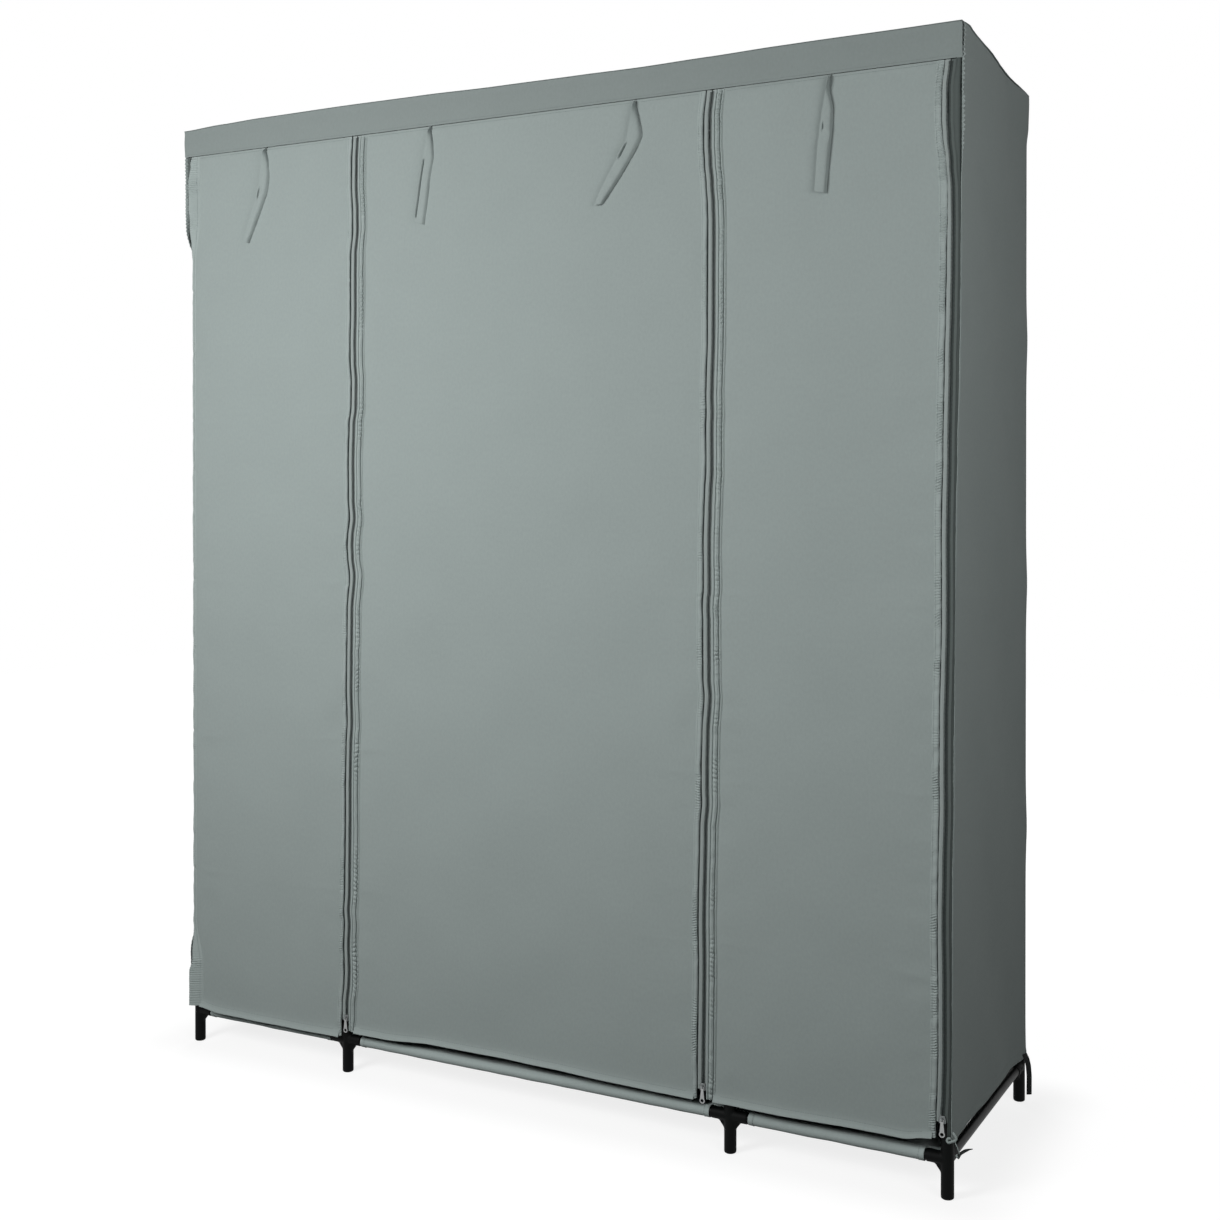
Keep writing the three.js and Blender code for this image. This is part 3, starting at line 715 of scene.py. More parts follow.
# The front left corner is drawn round its post: distance from the zip's axis towards the door,
# and the place in plan that it has there
LEFT_WRAP = (
    (-0.030, -0.7490, -0.1905), (-0.0143, -0.7488, -0.2052), (-0.008, -0.7480, -0.2112),
    (-0.004, -0.7471, -0.2151), (0, -0.7460, -0.2190), (0.004, -0.7443, -0.2226),
    (0.0112, -0.7397, -0.2285), (0.020, -0.7318, -0.2322), (0.030, -0.7219, -0.2335),
    (0.0564, -0.6958, -0.2335))


def wrap_share(z):
    """How far the front left corner is drawn round its post, by height: not at its two ends."""
    return ease(z, 0.15, 0.24) * (1 - ease(z, 1.49, 1.58))


class ZipLine:
    """The line of a zip up the front of the cover."""

    def __init__(self, name):
        self.name = name
        axis = JOINTS[f"slider_{name}_run"]["axis"]
        self.foot = middle_of(f"slider_{name}")
        self.slope = axis[0] / axis[2]
        self.body = JOINTS[f"slider_{name}_run"]["parent"]
        self.travel = JOINTS[f"slider_{name}_run"]["range_m"][1] * axis[2]
        self.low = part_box(f"zip_{name}")[0].z
        self.corner = {"left_corner": -1, "right_corner": 1}.get(name, 0)

    def x(self, z):
        return self.foot.x + self.slope * (z - self.foot.z) + through(z, ZIP_STRAY[self.name])

    def place(self, distance, z):
        """The place in plan, x and y, at a distance to the right of the axis."""
        distance, z = np.broadcast_arrays(distance, z)
        x, y = self.x(z) + distance, np.full(z.shape, FRONT_Y)
        if self.corner < 0:
            share = wrap_share(z)
            places, wrapped_x, wrapped_y = np.array(LEFT_WRAP).T
            near = distance <= places[-1]
            x = x + (np.interp(distance, places, wrapped_x) - x) * share * near
            y = y + (np.interp(distance, places, wrapped_y) - y) * share * near
        return x, y

    def out(self, distance, z):
        """The outward direction in plan at that place."""
        ahead, behind = self.place(distance + MM, z), self.place(distance - MM, z)
        dx, dy = ahead[0] - behind[0], ahead[1] - behind[1]
        length = np.hypot(dx, dy)
        return dy / length, -dx / length

    def point(self, distance, lift, z):
        """A point on the front, with a lift outwards."""
        distance, lift, z = np.broadcast_arrays(distance, lift, z)
        x, y = self.place(distance, z)
        out_x, out_y = self.out(distance, z)
        return np.stack([x + out_x * lift, y + out_y * lift, z], -1)


ZIPS = {name: ZipLine(name) for name in ("left_corner", "left_middle", "right_middle", "right_corner")}
DOOR_ZIPS = {
    "left": ("left_corner", "left_middle"),
    "centre": ("left_middle", "right_middle"),
    "right": ("right_middle", "right_corner"),
}

# Where the fold beside a corner zip lies over its teeth as a loose flap: height, how far it comes
# over the zip, and how far it stands out. -1 is the left corner, 1 the right one, where the fold
# only comes nearer to the teeth
FLAPS = {
    -1: (
        (0.080, 0.0177, 0.0092), (0.140, 0.0177, 0.0092), (0.165, 0.0100, 0.0070), (0.230, 0.0, 0.0),
        (1.490, 0.0, 0.0), (1.570, 0.0105, 0.0060), (1.600, 0.0105, 0.0088), (1.650, 0.0105, 0.0088),
        (1.680, 0.0105, 0.0030), (1.700, 0.0105, 0.0012)),
    1: (
        (0.080, 0.0012, 0.0), (1.410, 0.0012, 0.0), (1.490, 0.0042, 0.0008), (1.545, 0.0042, 0.0008),
        (1.605, 0.0014, 0.0), (1.700, 0.0014, 0.0)),
}

# From the hem of a door upwards: distance and lift of its turned hem
HEM_SECTION = (
    (0.0, 0.0005), (0.0006, 0.0009), (0.0018, 0.0011), (0.0036, 0.0009), (0.0054, 0.0005),
    (0.0078, 0.0008), (0.0100, 0.0006), (0.0122, 0.0001))

# A zip's tape from its teeth outwards: it rises to a ridge, then dips behind the fold or band
TAPE_SECTION = (
    (0.0009, -0.0002), (0.0030, 0.0), (0.0048, 0.0003), (0.0062, 0.0012), (0.0074, 0.0013),
    (0.0088, 0.0004), (0.0100, -0.0014), (0.0112, -0.0030), (0.0150, -0.0034))

# The tape between a corner zip's teeth and the strip beside it
CORNER_TAPE_SECTION = ((0.0009, -0.0002), (0.0030, 0.0), (0.0055, 0.0), (0.0080, 0.0))

# Distances from a zip's axis of the columns at the edge of a door's panel, under a fold or a band
FOLD_COLUMNS = (0.0150, 0.018, 0.023, 0.029, 0.037, 0.047, 0.0564)
BAND_COLUMNS = (0.0188, 0.022, 0.026, 0.031, 0.038, 0.047)


def door_grid(name, cloth):
    """The middle surface of a door's panel, and the heights of its rows above its hem."""
    left_zip, right_zip = (ZIPS[zip_name] for zip_name in DOOR_ZIPS[name])
    left, right = FOLD_COLUMNS if left_zip.corner else BAND_COLUMNS, FOLD_COLUMNS
    hem = DOOR_HEMS[name]
    turned = [distance for distance, _ in HEM_SECTION]
    rows = np.array(turned + list(spread(0.0155, DOOR_TOP - 0.0003 - hem, cloth.row_pitch)))
    z = hem + rows
    left_x, left_y = left_zip.place(left[-1], z)
    right_x, right_y = right_zip.place(-right[-1], z)
    inner = np.linspace(0, 1, round((right_x[0] - left_x[0]) / 0.009) + 1)[1:-1]
    parts = [left_zip.point(distance, 0.0, z[:, None]) for distance in left]
    for share in inner:
        x, y = left_x + (right_x - left_x) * share, left_y + (right_y - left_y) * share
        parts.append(np.stack([x, y, z], -1)[:, None])
    parts += [right_zip.point(-distance, 0.0, z[:, None]) for distance in reversed(right)]
    return np.concatenate(parts, 1), rows


def crease_lines(x, z, share, wobble):
    """The packing creases: a sharp ridge with a hollow below, at each height."""
    total = 0
    for number, height in enumerate(CREASES):
        crest = height + wobble + (0.012 if number % 2 else -0.008) * (share - 0.5)
        total = total + hill(z, crest, 0.0055) - 0.5 * hill(z, crest - 0.014, 0.014)
    return total


def door_relief(name, grid, rows, cloth):
    """How far each point of a door stands out: belly, packing creases, puckers and unevenness."""
    left_zip, right_zip = (ZIPS[zip_name] for zip_name in DOOR_ZIPS[name])
    x, z = grid[..., 0], grid[..., 2]
    from_left, from_right = x - left_zip.x(z), right_zip.x(z) - x
    nearest = np.minimum(from_left, from_right)
    share = np.clip(from_left / (from_left + from_right), 0, 1)
    up = np.clip((z - DOOR_HEMS[name]) / (DOOR_TOP - DOOR_HEMS[name]), 0, 1)
    seed = {"left": 11, "centre": 23, "right": 37}[name]
    inside = ease(nearest, 0.022, 0.08)
    relief = cloth.belly * 4 * share * (1 - share) * np.sin(np.pi * up) ** 0.7
    relief += 0.0012 * drift(seed, 0.16, 0.7)(x, z) * inside
    relief += 0.00030 * drift(seed + 1, 0.05, 0.16)(x, z * 0.6) * inside
    strength = 0.00006 + 0.0011 * np.exp(-nearest / 0.045)
    relief += strength * crease_lines(x, z, share, 0.006 * drift(seed + 2, 0.2, 0.9)(x, z * 0))
    relief += 0.0008 * hill(nearest, 0.036, 0.022) * drift(seed + 3, 0.03, 0.2)(x * 0.3, z)
    relief += 0.0007 * np.exp(-(DOOR_TOP - z) / 0.040) * drift(seed + 4, 0.03, 0.12)(x, z * 0.15)
    relief += 0.0010 * np.exp(-rows[:, None] / 0.05) * drift(seed + 5, 0.05, 0.25)(x, z * 0.1)
    return relief * ease(DOOR_TOP - z, 0.0, 0.012) * ease(nearest, 0.016, 0.034)


# How far each door's hem is drawn up, by share of its width
HEM_RISE = {
    "left": ((0, -0.0040), (0.15, -0.0093), (1, -0.0093)),
    "centre": (
        (0, -0.0030), (0.08, -0.0025), (0.27, 0.0046), (0.45, 0.0050), (0.62, 0.0033), (0.80, 0.0009),
        (0.92, -0.0006), (1, -0.0006)),
    "right": (
        (0, -0.0010), (0.15, -0.0010), (0.42, 0.0002), (0.70, 0.0020), (0.88, 0.0020), (0.97, 0.0080),
        (1, 0.0090)),
}
HEM_FADE = 0.06
HEM_ROWS = 6


def build_door(name, cloth, finishes):
    """A door's panel, its turned hem of doubled cloth, and its seams."""
    grid, rows = door_grid(name, cloth)
    share = (grid[..., 0] - grid[:, :1, 0]) / (grid[:, -1:, 0] - grid[:, :1, 0])
    lift = np.zeros(len(rows))
    lift[: len(HEM_SECTION)] = [amount for _, amount in HEM_SECTION]
    flare = 0.0052 * np.exp(-rows / 0.0075)
    relief = door_relief(name, grid, rows, cloth)
    at_seam = 1 - ease(DOOR_TOP - grid[..., 2], 0.0, 0.006)
    grid[..., 1] -= 0.0006 - 0.0012 * at_seam + relief + (lift + flare)[:, None]
    grid[..., 2] += through(share, HEM_RISE[name]) * np.exp(-rows / HEM_FADE)[:, None]
    body = f"door_{name}"
    piece = place_cloth(
        body, grid[HEM_ROWS - 1:], cloth.thickness, finishes["cover"], body, replaces=[body])
    # The hem is shown in the lighter doubled finish: painted highlight.
    hem = place_cloth(
        f"{body}_hem", grid[: HEM_ROWS + 1], cloth.thickness * 1.4, finishes["doubled"], body)
    surface = grid + FORWARD * cloth.thickness * 0.7
    threads = seam(Shape(), surface[HEM_ROWS, 3:-3], FORWARD, cloth)
    seam(threads, surface[-2, 2:-2] - np.array([0, 0, 0.0004]), FORWARD, cloth)
    stitches = place_stitches(body, threads, finishes, body)
    width = float(grid[0, -1, 0] - grid[0, 0, 0])


# The doubled strips beside the zips: distance from the zip's axis, and lift
FOLD_SECTION = (
    (0.0218, 0.0002), (0.0210, 0.0009), (0.0200, 0.0011), (0.0188, 0.0014), (0.0168, 0.0022),
    (0.0150, 0.0028), (0.0132, 0.0026), (0.0121, 0.0015), (0.0119, 0.0004), (0.0150, -0.0002))
BAND_SECTION = (
    (0.0064, -0.0006), (0.0060, 0.0010), (0.0066, 0.0022), (0.0080, 0.0022), (0.0087, 0.0016),
    (0.0091, -0.0004), (0.0099, -0.0004), (0.0103, 0.0017), (0.0114, 0.0025), (0.0130, 0.0032),
    (0.0150, 0.0033), (0.0164, 0.0030), (0.0171, 0.0022), (0.0174, -0.0012), (0.0187, -0.0012),
    (0.0192, 0.0014), (0.0204, 0.0024), (0.0216, 0.0021), (0.0228, 0.0012), (0.0234, 0.0002))

# Strips: name, zip, side of it, section, and the wave of its puckers: their length, and their
# height at the foot and at the top
STRIPS = (
    ("door_left_edge_1", "left_corner", 1, FOLD_SECTION, (0.0043, 0.00055, 0.00050)),
    ("door_left_edge_2", "left_middle", -1, FOLD_SECTION, (0.0043, 0.00060, 0.00036)),
    ("door_centre_band", "left_middle", 1, BAND_SECTION, (0.0080, 0.00085, 0.00075)),
    ("door_centre_edge", "right_middle", -1, FOLD_SECTION, (0.0041, 0.00070, 0.00042)),
    ("door_right_band", "right_middle", 1, BAND_SECTION, (0.0078, 0.00085, 0.00075)),
    ("door_right_edge", "right_corner", -1, FOLD_SECTION, (0.0042, 0.00085, 0.00070)),
)


def strip_section(name, rows, section, wave):
    """Distances from the zip, and lifts, of a strip's points: its section with the puckers on it."""
    distance, lift = (np.array(part)[None] for part in np.array(section).T)
    length, foot_height, top_height = wave
    seed = sum(map(ord, name))
    height = foot_height + (top_height - foot_height) * ease(rows, 0.5, 1.3)
    crest = distance[0, np.argmax(lift[0])]
    weight = hill(distance, crest, 0.0052)
    slant = 2 * math.pi * (distance - crest) / 0.011 * (0.5 + drift_along(seed + 4, 0.05, 0.3, rows))
    phase = 2 * math.pi * rows / length + 1.5 * drift_along(seed, 0.03, 0.3, rows) + slant
    uneven = np.clip(0.9 + 1.0 * drift_along(seed + 1, 0.03, 0.2, rows), 0.05, 1.6)
    bump = 2.6 * np.abs(np.sin(phase / 2)) - 1.6
    lift = lift + height * weight * (uneven * bump + 0.9 * drift_along(seed + 2, 0.012, 0.06, rows))
    for crease in CREASES:
        lift = lift - 0.0014 * weight * hill(rows, crease, 0.0030)
    return distance + 0.0007 * drift_along(seed + 3, 0.04, 0.3, rows) * weight, lift


def with_flap(corner, rows, distance, lift):
    """The same section with the loose flap of a corner zip's fold."""
    heights, over, stand = np.array(FLAPS[corner]).T
    share = ease(-distance, -0.0216, -0.0130)
    lift = lift + through(rows, np.stack([heights, stand], 1)) * share
    return distance - through(rows, np.stack([heights, over], 1)) * share, lift


def build_strip(name, line, side, section, wave, cloth, finishes):
    """A doubled strip of cloth beside a zip, with its seams."""
    door = name.split("_")[1]
    body, hem = f"door_{door}", DOOR_HEMS[door]
    rows = spread(hem + 0.0012, DOOR_TOP - 0.0006, cloth.fine_pitch)[:, None]
    distance, lift = strip_section(name, rows, section, wave)
    if line.corner:
        distance, lift = with_flap(line.corner, rows, distance, lift)
    lift = lift * (0.15 + 0.85 * ease(DOOR_TOP - rows, 0.0, 0.010))
    grid = line.point(side * distance, lift, rows)
    drawn = HEM_RISE[door][0 if side > 0 else -1][1]
    grid[..., 2] += drawn * np.exp(-(rows - hem) / HEM_FADE)
    # The strip is shown in the lighter doubled finish: painted highlight.
    piece = place_cloth(name, grid, cloth.thickness, finishes["doubled"], body)
    threads = Shape()
    for column in (10, 17) if section is BAND_SECTION else (3,):
        sew(threads, grid[:, column], FORWARD, cloth)
    stitches = place_stitches(name, threads, finishes, body)


# Zips
TAPE_THICKNESS = 0.0005
SLIDER_ROOM = 0.016


def tooth(sides=6):
    """One bend of the nylon coil: a short bar across the tape with a swollen head at the axis."""
    profile = ((0.0, 0.30), (0.12, 0.62), (0.35, 0.50), (0.8, 0.50), (1.0, 0.36))
    angles = np.linspace(0, 2 * math.pi, sides, endpoint=False)
    rings = []
    for share, size in profile:
        first, third = np.cos(angles) * size * 0.0017, np.sin(angles) * size * 0.0019
        rings.append(np.stack([first, np.full(sides, share), third], 1))
    return np.concatenate(rings), ring_faces(len(profile), sides)


def build_tapes(name, line, cloth, finishes):
    """The two tapes of a zip."""
    rows = spread(line.low + 0.001, DOOR_TOP - 0.0008, cloth.row_pitch)[:, None]
    for side, number in ((-1, 1), (1, 2)):
        at_corner = line.corner == side
        section = np.array(CORNER_TAPE_SECTION if at_corner else TAPE_SECTION)
        distance, lift = section.T[:, None]
        # A corner zip's outer tape takes the darker strip finish: painted shade.
        finish = finishes["strip" if at_corner else "tape"]
        tape = place_cloth(
            f"zip_{name}_tape_{number}", line.point(side * distance, lift + 0 * rows, rows + 0 * distance),
            TAPE_THICKNESS, finish, line.body, [f"zip_{name}"])


def build_teeth(name, line, sizes, finishes):
    """The two rows of teeth of a zip, drawn apart a little where the slider can stand."""
    template, faces = tooth()
    teeth = Shape()
    for side in (-1, 1):
        start = line.low + 0.0015 + (sizes.tooth_pitch / 2 if side > 0 else 0)
        z = np.arange(start, DOOR_TOP - 0.003, sizes.tooth_pitch)
        from_foot = z - line.foot.z
        parked = np.minimum(np.abs(from_foot), np.abs(from_foot - line.travel)) < SLIDER_ROOM
        inner = np.where(parked, 0.00035, -0.00015)
        out_x, out_y = line.out(side * 0.0015, z)
        out = np.stack([out_x, out_y, 0 * z], 1)
        across = np.stack([-out_y, out_x, 0 * z], 1) * side * (sizes.row_half - inner)[:, None]
        centres = line.point(side * inner, 0.0, z)
        scatter(teeth, template, faces, centres, np.tile(UP, (len(z), 1)), across, out)
    place_piece(f"zip_{name}_teeth", teeth.mesh("teeth"), finishes["teeth"], line.body)


# Sliders and pulls
def plate_mesh(name, loops, thickness, bevel):
    """A flat plate with rounded edges: closed outlines of x and z, extruded along y."""
    curve = bpy.data.curves.new(name, "CURVE")
    curve.dimensions = "2D"
    curve.fill_mode = "BOTH"
    curve.extrude = thickness / 2 - bevel
    curve.bevel_depth = bevel
    curve.bevel_resolution = 3
    curve.offset = -bevel
    for loop in loops:
        spline = curve.splines.new("POLY")
        spline.points.add(len(loop) - 1)
        spline.use_cyclic_u = True
        for point, (x, z) in zip(spline.points, loop):
            point.co = (x, z, 0, 1)
    holder = bpy.data.objects.new(name, curve)
    bpy.context.scene.collection.objects.link(holder)
    bpy.context.view_layer.update()
    mesh = bpy.data.meshes.new_from_object(holder.evaluated_get(bpy.context.evaluated_depsgraph_get()))
    bpy.data.objects.remove(holder)
    bpy.data.curves.remove(curve)
    soup = bmesh.new()
    soup.from_mesh(mesh)
    bmesh.ops.remove_doubles(soup, verts=soup.verts, dist=1e-6)
    bmesh.ops.recalc_face_normals(soup, faces=soup.faces)
    for vertex in soup.verts:
        vertex.co = (vertex.co.x, -vertex.co.z, vertex.co.y)
    bmesh.ops.recalc_face_normals(soup, faces=soup.faces)
    for face in soup.faces:
        face.smooth = True
    soup.to_mesh(mesh)
    soup.free()
    mesh.set_sharp_from_angle(angle=METAL_ANGLE)
    mesh.name = name
    return mesh


def arc(x, z, radius, start, end, count):
    """Points round a circle's middle, from one angle in degrees to the other."""
    angles = np.linspace(math.radians(start), math.radians(end), count)
    return [(x + radius * math.cos(a), z + radius * math.sin(a)) for a in angles]


def join_meshes(name, meshes):
    soup = bmesh.new()
    for mesh in meshes:
        soup.from_mesh(mesh)
        bpy.data.meshes.remove(mesh)
    joined = bpy.data.meshes.new(name)
    soup.to_mesh(joined)
    soup.free()
    joined.set_sharp_from_angle(angle=METAL_ANGLE)
    return joined


def moved(mesh, offset):
    """The same mesh, moved."""
    for vertex in mesh.vertices:
        vertex.co += Vector(offset)
    return mesh


# A slider: half its width at the mouth and at the tail, half its length, and its plates' distance
# from the tape; the pull's axis, and the radius of the bail that it turns in
SLIDER_MOUTH, SLIDER_TAIL, SLIDER_HALF = 0.00525, 0.0040, 0.0060
PLATE_OUT, PLATE_THICKNESS, PLATE_BEVEL = 0.00185, 0.0012, 0.0004
PULL_OUT, BAIL_RADIUS = 0.0042, 0.00175


def slider_outline():
    """The outline of a slider's plate: x and z."""
    wide, narrow, half = SLIDER_MOUTH, SLIDER_TAIL, SLIDER_HALF
    low, high = 0.0018, 0.0012
    return (
        arc(-wide + low, -half + low, low, 180, 270, 5)
        + arc(wide - low, -half + low, low, 270, 360, 5)
        + [(wide, -0.0005), (narrow, half - 0.0016)]
        + arc(narrow - high, half - high, high, 20, 90, 4)
        + [(0, half - 0.0006)]
        + arc(-narrow + high, half - high, high, 90, 160, 4)
        + [(-narrow, half - 0.0016), (-wide, -0.0005)]
    )


def add_bail(shape, axis, steps=24, sides=10):
    """Adds the flat ring on the front plate in which the pull turns."""
    angles = np.linspace(0, 2 * math.pi, sides, endpoint=False)
    thick, wide = np.cos(angles)[:, None] * 0.00042, np.sin(angles)[:, None] * np.array([0.0011, 0, 0])
    rings = []
    for turn in np.linspace(0, 2 * math.pi, steps + 1)[:-1]:
        radial = np.array([0, math.cos(turn), math.sin(turn)])
        rings.append(np.array(axis) + radial * BAIL_RADIUS + thick * radial + wide)
    numbers = np.arange(steps * sides).reshape(steps, sides)
    closed = np.concatenate([numbers, numbers[:1]])
    closed = np.concatenate([closed, closed[:, :1]], 1)
    return shape.add(np.concatenate(rings), [quads_of(closed)])


def slider_place(name):
    """The middle of a slider at rest."""
    return Vector((ZIPS[name].foot.x, FRONT_Y, ZIPS[name].foot.z))


def build_slider(name, finishes):
    """A slider's two plates, the web between them, and the bail."""
    place = slider_place(name)
    plates = []
    for side in (-1, 1):
        plate = plate_mesh("plate", [slider_outline()], PLATE_THICKNESS, PLATE_BEVEL)
        plates.append(moved(plate, place + Vector((0, side * PLATE_OUT, 0))))
    parts = Shape()
    web = [place + Vector((0, side * 0.0013, 0.0015)) for side in (-1, 1)]
    add_rod(parts, *web, 0.0002, 6, 0.00003)
    add_bail(parts, place + Vector((0, -PULL_OUT, 0)))
    node = f"slider_{name}"
    mesh = join_meshes(node, [*plates, parts.mesh("bail")])
    place_piece(node, mesh, finishes["slider"], node, [node])


def build_pull(name, finishes):
    """A pull: a tab with a window for the bail at its top and a round eye at its foot."""
    neck, eye, drop, window_half = 0.0027, 0.0046, 0.0216, 0.00165
    window = [(-window_half, -0.0006), (window_half, -0.0006), (window_half, -0.0025),
              (-window_half, -0.0025)]
    tab = (
        [(neck - 0.0006, 0.0006), (-neck + 0.0006, 0.0006), (-neck, 0.0), (-neck, -0.0035),
         (-0.0023, -0.0055)]
        + arc(0, -drop, eye, 180 - 38, 360 + 38, 25)
        + [(0.0023, -0.0055), (neck, -0.0035), (neck, 0.0)]
    )
    hole = arc(0, -drop, 0.0027, 0, 345, 24)
    node = f"pull_{name}"
    axis = slider_place(name) + Vector((0, -PULL_OUT, 0))
    plate = moved(plate_mesh(node, [tab, window, hole], 0.0011, 0.00035), axis)
    place_piece(node, plate, finishes["metal"], node, [node])


# Frame
SMOOTH_ROUNDS = 4


def remeshed(name, shape, voxel):
    """One moulded skin round overlapping solids, with softened joins."""
    holder = bpy.data.objects.new(name, shape.mesh(name))
    bpy.context.scene.collection.objects.link(holder)
    remesh = holder.modifiers.new("skin", "REMESH")
    remesh.mode = "VOXEL"
    remesh.voxel_size = voxel
    smooth = holder.modifiers.new("soften", "SMOOTH")
    smooth.factor = 0.5
    smooth.iterations = SMOOTH_ROUNDS
    bpy.context.view_layer.update()
    mesh = bpy.data.meshes.new_from_object(holder.evaluated_get(bpy.context.evaluated_depsgraph_get()))
    bpy.data.objects.remove(holder)
    mesh.name = name
    points = np.zeros(len(mesh.vertices) * 3, np.float32)
    mesh.vertices.foreach_get("co", points)
    faces = [np.array(polygon.vertices) for polygon in mesh.polygons]
    quads = np.array([face for face in faces if len(face) == 4])
    return points.reshape(-1, 3).astype(float), [quads]


WAYS = {
    "left": np.array([-1.0, 0, 0]), "right": np.array([1.0, 0, 0]), "front": FORWARD, "rear": BACKWARD}
RAIL_WAYS = {
    "left_end": ("right",), "left_middle": ("left", "right"), "right_middle": ("left", "right"),
    "right_end": ("left",)}
ROD_WAYS = {"left_end": "right", "left_middle": "left", "right_middle": "right", "right_end": "left"}
SIDE_BAYS = ("left", "right")

# From a connector's middle to the end of a tube in it, along a post and across, and the gap
# between two lengths of a post
POST_SEAT, RAIL_SEAT, POST_GAP = 0.012, 0.0125, 0.0005


def socket(shape, height, way, sizes, sides):
    """A socket that reaches out from a post, with a collar at its mouth."""
    start = np.array([0, 0, height])
    radius, reach = sizes.socket_radius, sizes.socket_reach
    profile = [(0, radius * 0.7), (0.001, radius * 0.97), (reach - 0.0005, radius * 0.97),
               (reach, radius * 0.93)]
    return add_turned(shape, start, start + way * reach, profile, sides)


def add_sleeve(shape, low, high, radius, lower_edge, upper_edge, sides):
    """Adds an upright sleeve. An edge is how far along it its slope goes, and how far in."""
    length = high - low
    profile = [(0, radius - lower_edge[1]), (lower_edge[0], radius), (length - upper_edge[0], radius),
               (length, radius - upper_edge[1])]
    return add_turned(shape, (0, 0, low), (0, 0, high), profile, sides)


def foot_shape(ways, sizes, sides=48):
    """A foot with its post socket, rail sockets and the small gussets under them."""
    radius = sizes.socket_radius
    top = BOTTOM_RAIL_Z + sizes.socket_reach
    shape = add_sleeve(Shape(), 0, top, radius, (0.0015, 0.0015), (0.0008, 0.0006), sides)
    tip = radius + sizes.gusset_reach
    outline = [(0, sizes.gusset_foot), (radius, sizes.gusset_foot), (tip, BOTTOM_RAIL_Z - radius),
               (tip, BOTTOM_RAIL_Z - 0.006), (0, BOTTOM_RAIL_Z)]
    count = len(outline)
    wall = [[i, (i + 1) % count, (i + 1) % count + count, i + count] for i in range(count)]
    ends = [np.arange(count)[None, ::-1], (np.arange(count) + count)[None]]
    for way in ways:
        socket(shape, BOTTOM_RAIL_Z, WAYS[way], sizes, sides)
        side = np.cross(WAYS[way], UP) * sizes.gusset_thickness / 2
        ring = np.array([WAYS[way] * reach + np.array([0, 0, z]) for reach, z in outline])
        shape.add(np.concatenate([ring - side, ring + side]), [np.array(wall), *ends])
    return shape


def level_shape(ways, sizes, sides=40):
    """A shelf connector: a sleeve on the post with a socket for each rod."""
    grip, edge = sizes.sleeve_half, (0.0008, 0.0008)
    shape = add_sleeve(Shape(), -grip, grip, sizes.socket_radius, edge, edge, sides)
    for way in ways:
        socket(shape, 0, WAYS[way], sizes, sides)
    return shape


def top_shape(ways, sizes, sides=40):
    """A top connector, closed above its rail sockets."""
    radius, reach = sizes.socket_radius, sizes.socket_reach
    shape = add_sleeve(Shape(), -reach, radius, radius, (0.0008, 0.0008), (0.0018, 0.002), sides)
    for way in ways:
        socket(shape, 0, WAYS[way], sizes, sides)
    return shape


def moulder(sizes):
    """A function that gives a connector's skin, made once for each kind and set of sockets."""
    kinds = {"foot": (foot_shape, 0.0014), "level": (level_shape, 0.0019), "top": (top_shape, 0.0019)}
    made = {}

    def moulded(kind, ways):
        if (kind, ways) not in made:
            maker, voxel = kinds[kind]
            made[kind, ways] = remeshed(kind, maker(ways, sizes), voxel)
        return made[kind, ways]

    return moulded


def place_moulding(name, moulded, place, finishes, replaces=()):
    """Shows a copy of a moulded connector."""
    points, faces = moulded
    mesh = Shape().add(points + np.array(place), faces).mesh("connector", math.pi)
    place_piece(name, mesh, finishes["plastic"], FRAME, replaces)


def place_tubes(name, ends, sizes, finishes, replaces=()):
    """Shows straight tubes, each given by its two ends, as one piece."""
    tubes = Shape()
    for start, end in ends:
        add_rod(tubes, start, end, sizes.tube_radius, sizes.sides)
    place_piece(name, tubes.mesh("tubes"), finishes["paint"], FRAME, replaces)


def across_bay(bay, y, z):
    """The ends of a tube from side to side of a bay."""
    first, last = (COLUMNS[column] for column in BAYS[bay])
    return (first + RAIL_SEAT, y, z), (last - RAIL_SEAT, y, z)


def front_to_rear(column, z):
    """The ends of a tube from front to rear at a column."""
    x = COLUMNS[column]
    return (x, ROWS["front"] + RAIL_SEAT, z), (x, ROWS["rear"] - RAIL_SEAT, z)


def build_posts(sizes, finishes):
    """Each post's foot, its tube lengths, and its connectors at the shelves and the top."""
    moulded = moulder(sizes)
    seats = [BOTTOM_RAIL_Z + POST_SEAT, *SHELF_LEVELS, TOP_RAIL_Z - POST_SEAT]
    for row, y in ROWS.items():
        inward = {"front": "rear", "rear": "front"}[row]
        for column, x in COLUMNS.items():
            place, ways = f"{row}_{column}", (*RAIL_WAYS[column], inward)
            foot, post = f"foot_{place}", f"post_{place}"
            place_moulding(foot, moulded("foot", ways), (x, y, 0), finishes, [foot])
            tubes = [((x, y, low + POST_GAP), (x, y, high - POST_GAP)) for low, high in zip(seats, seats[1:])]
            place_tubes(f"{post}_tubes", tubes, sizes, finishes, [post])
            for number, level in enumerate(SHELF_LEVELS, 1):
                at_shelf = moulded("level", (ROD_WAYS[column], inward))
                place_moulding(f"connector_{place}_{number}", at_shelf, (x, y, level), finishes)
            place_moulding(f"connector_{place}_top", moulded("top", ways), (x, y, TOP_RAIL_Z), finishes)


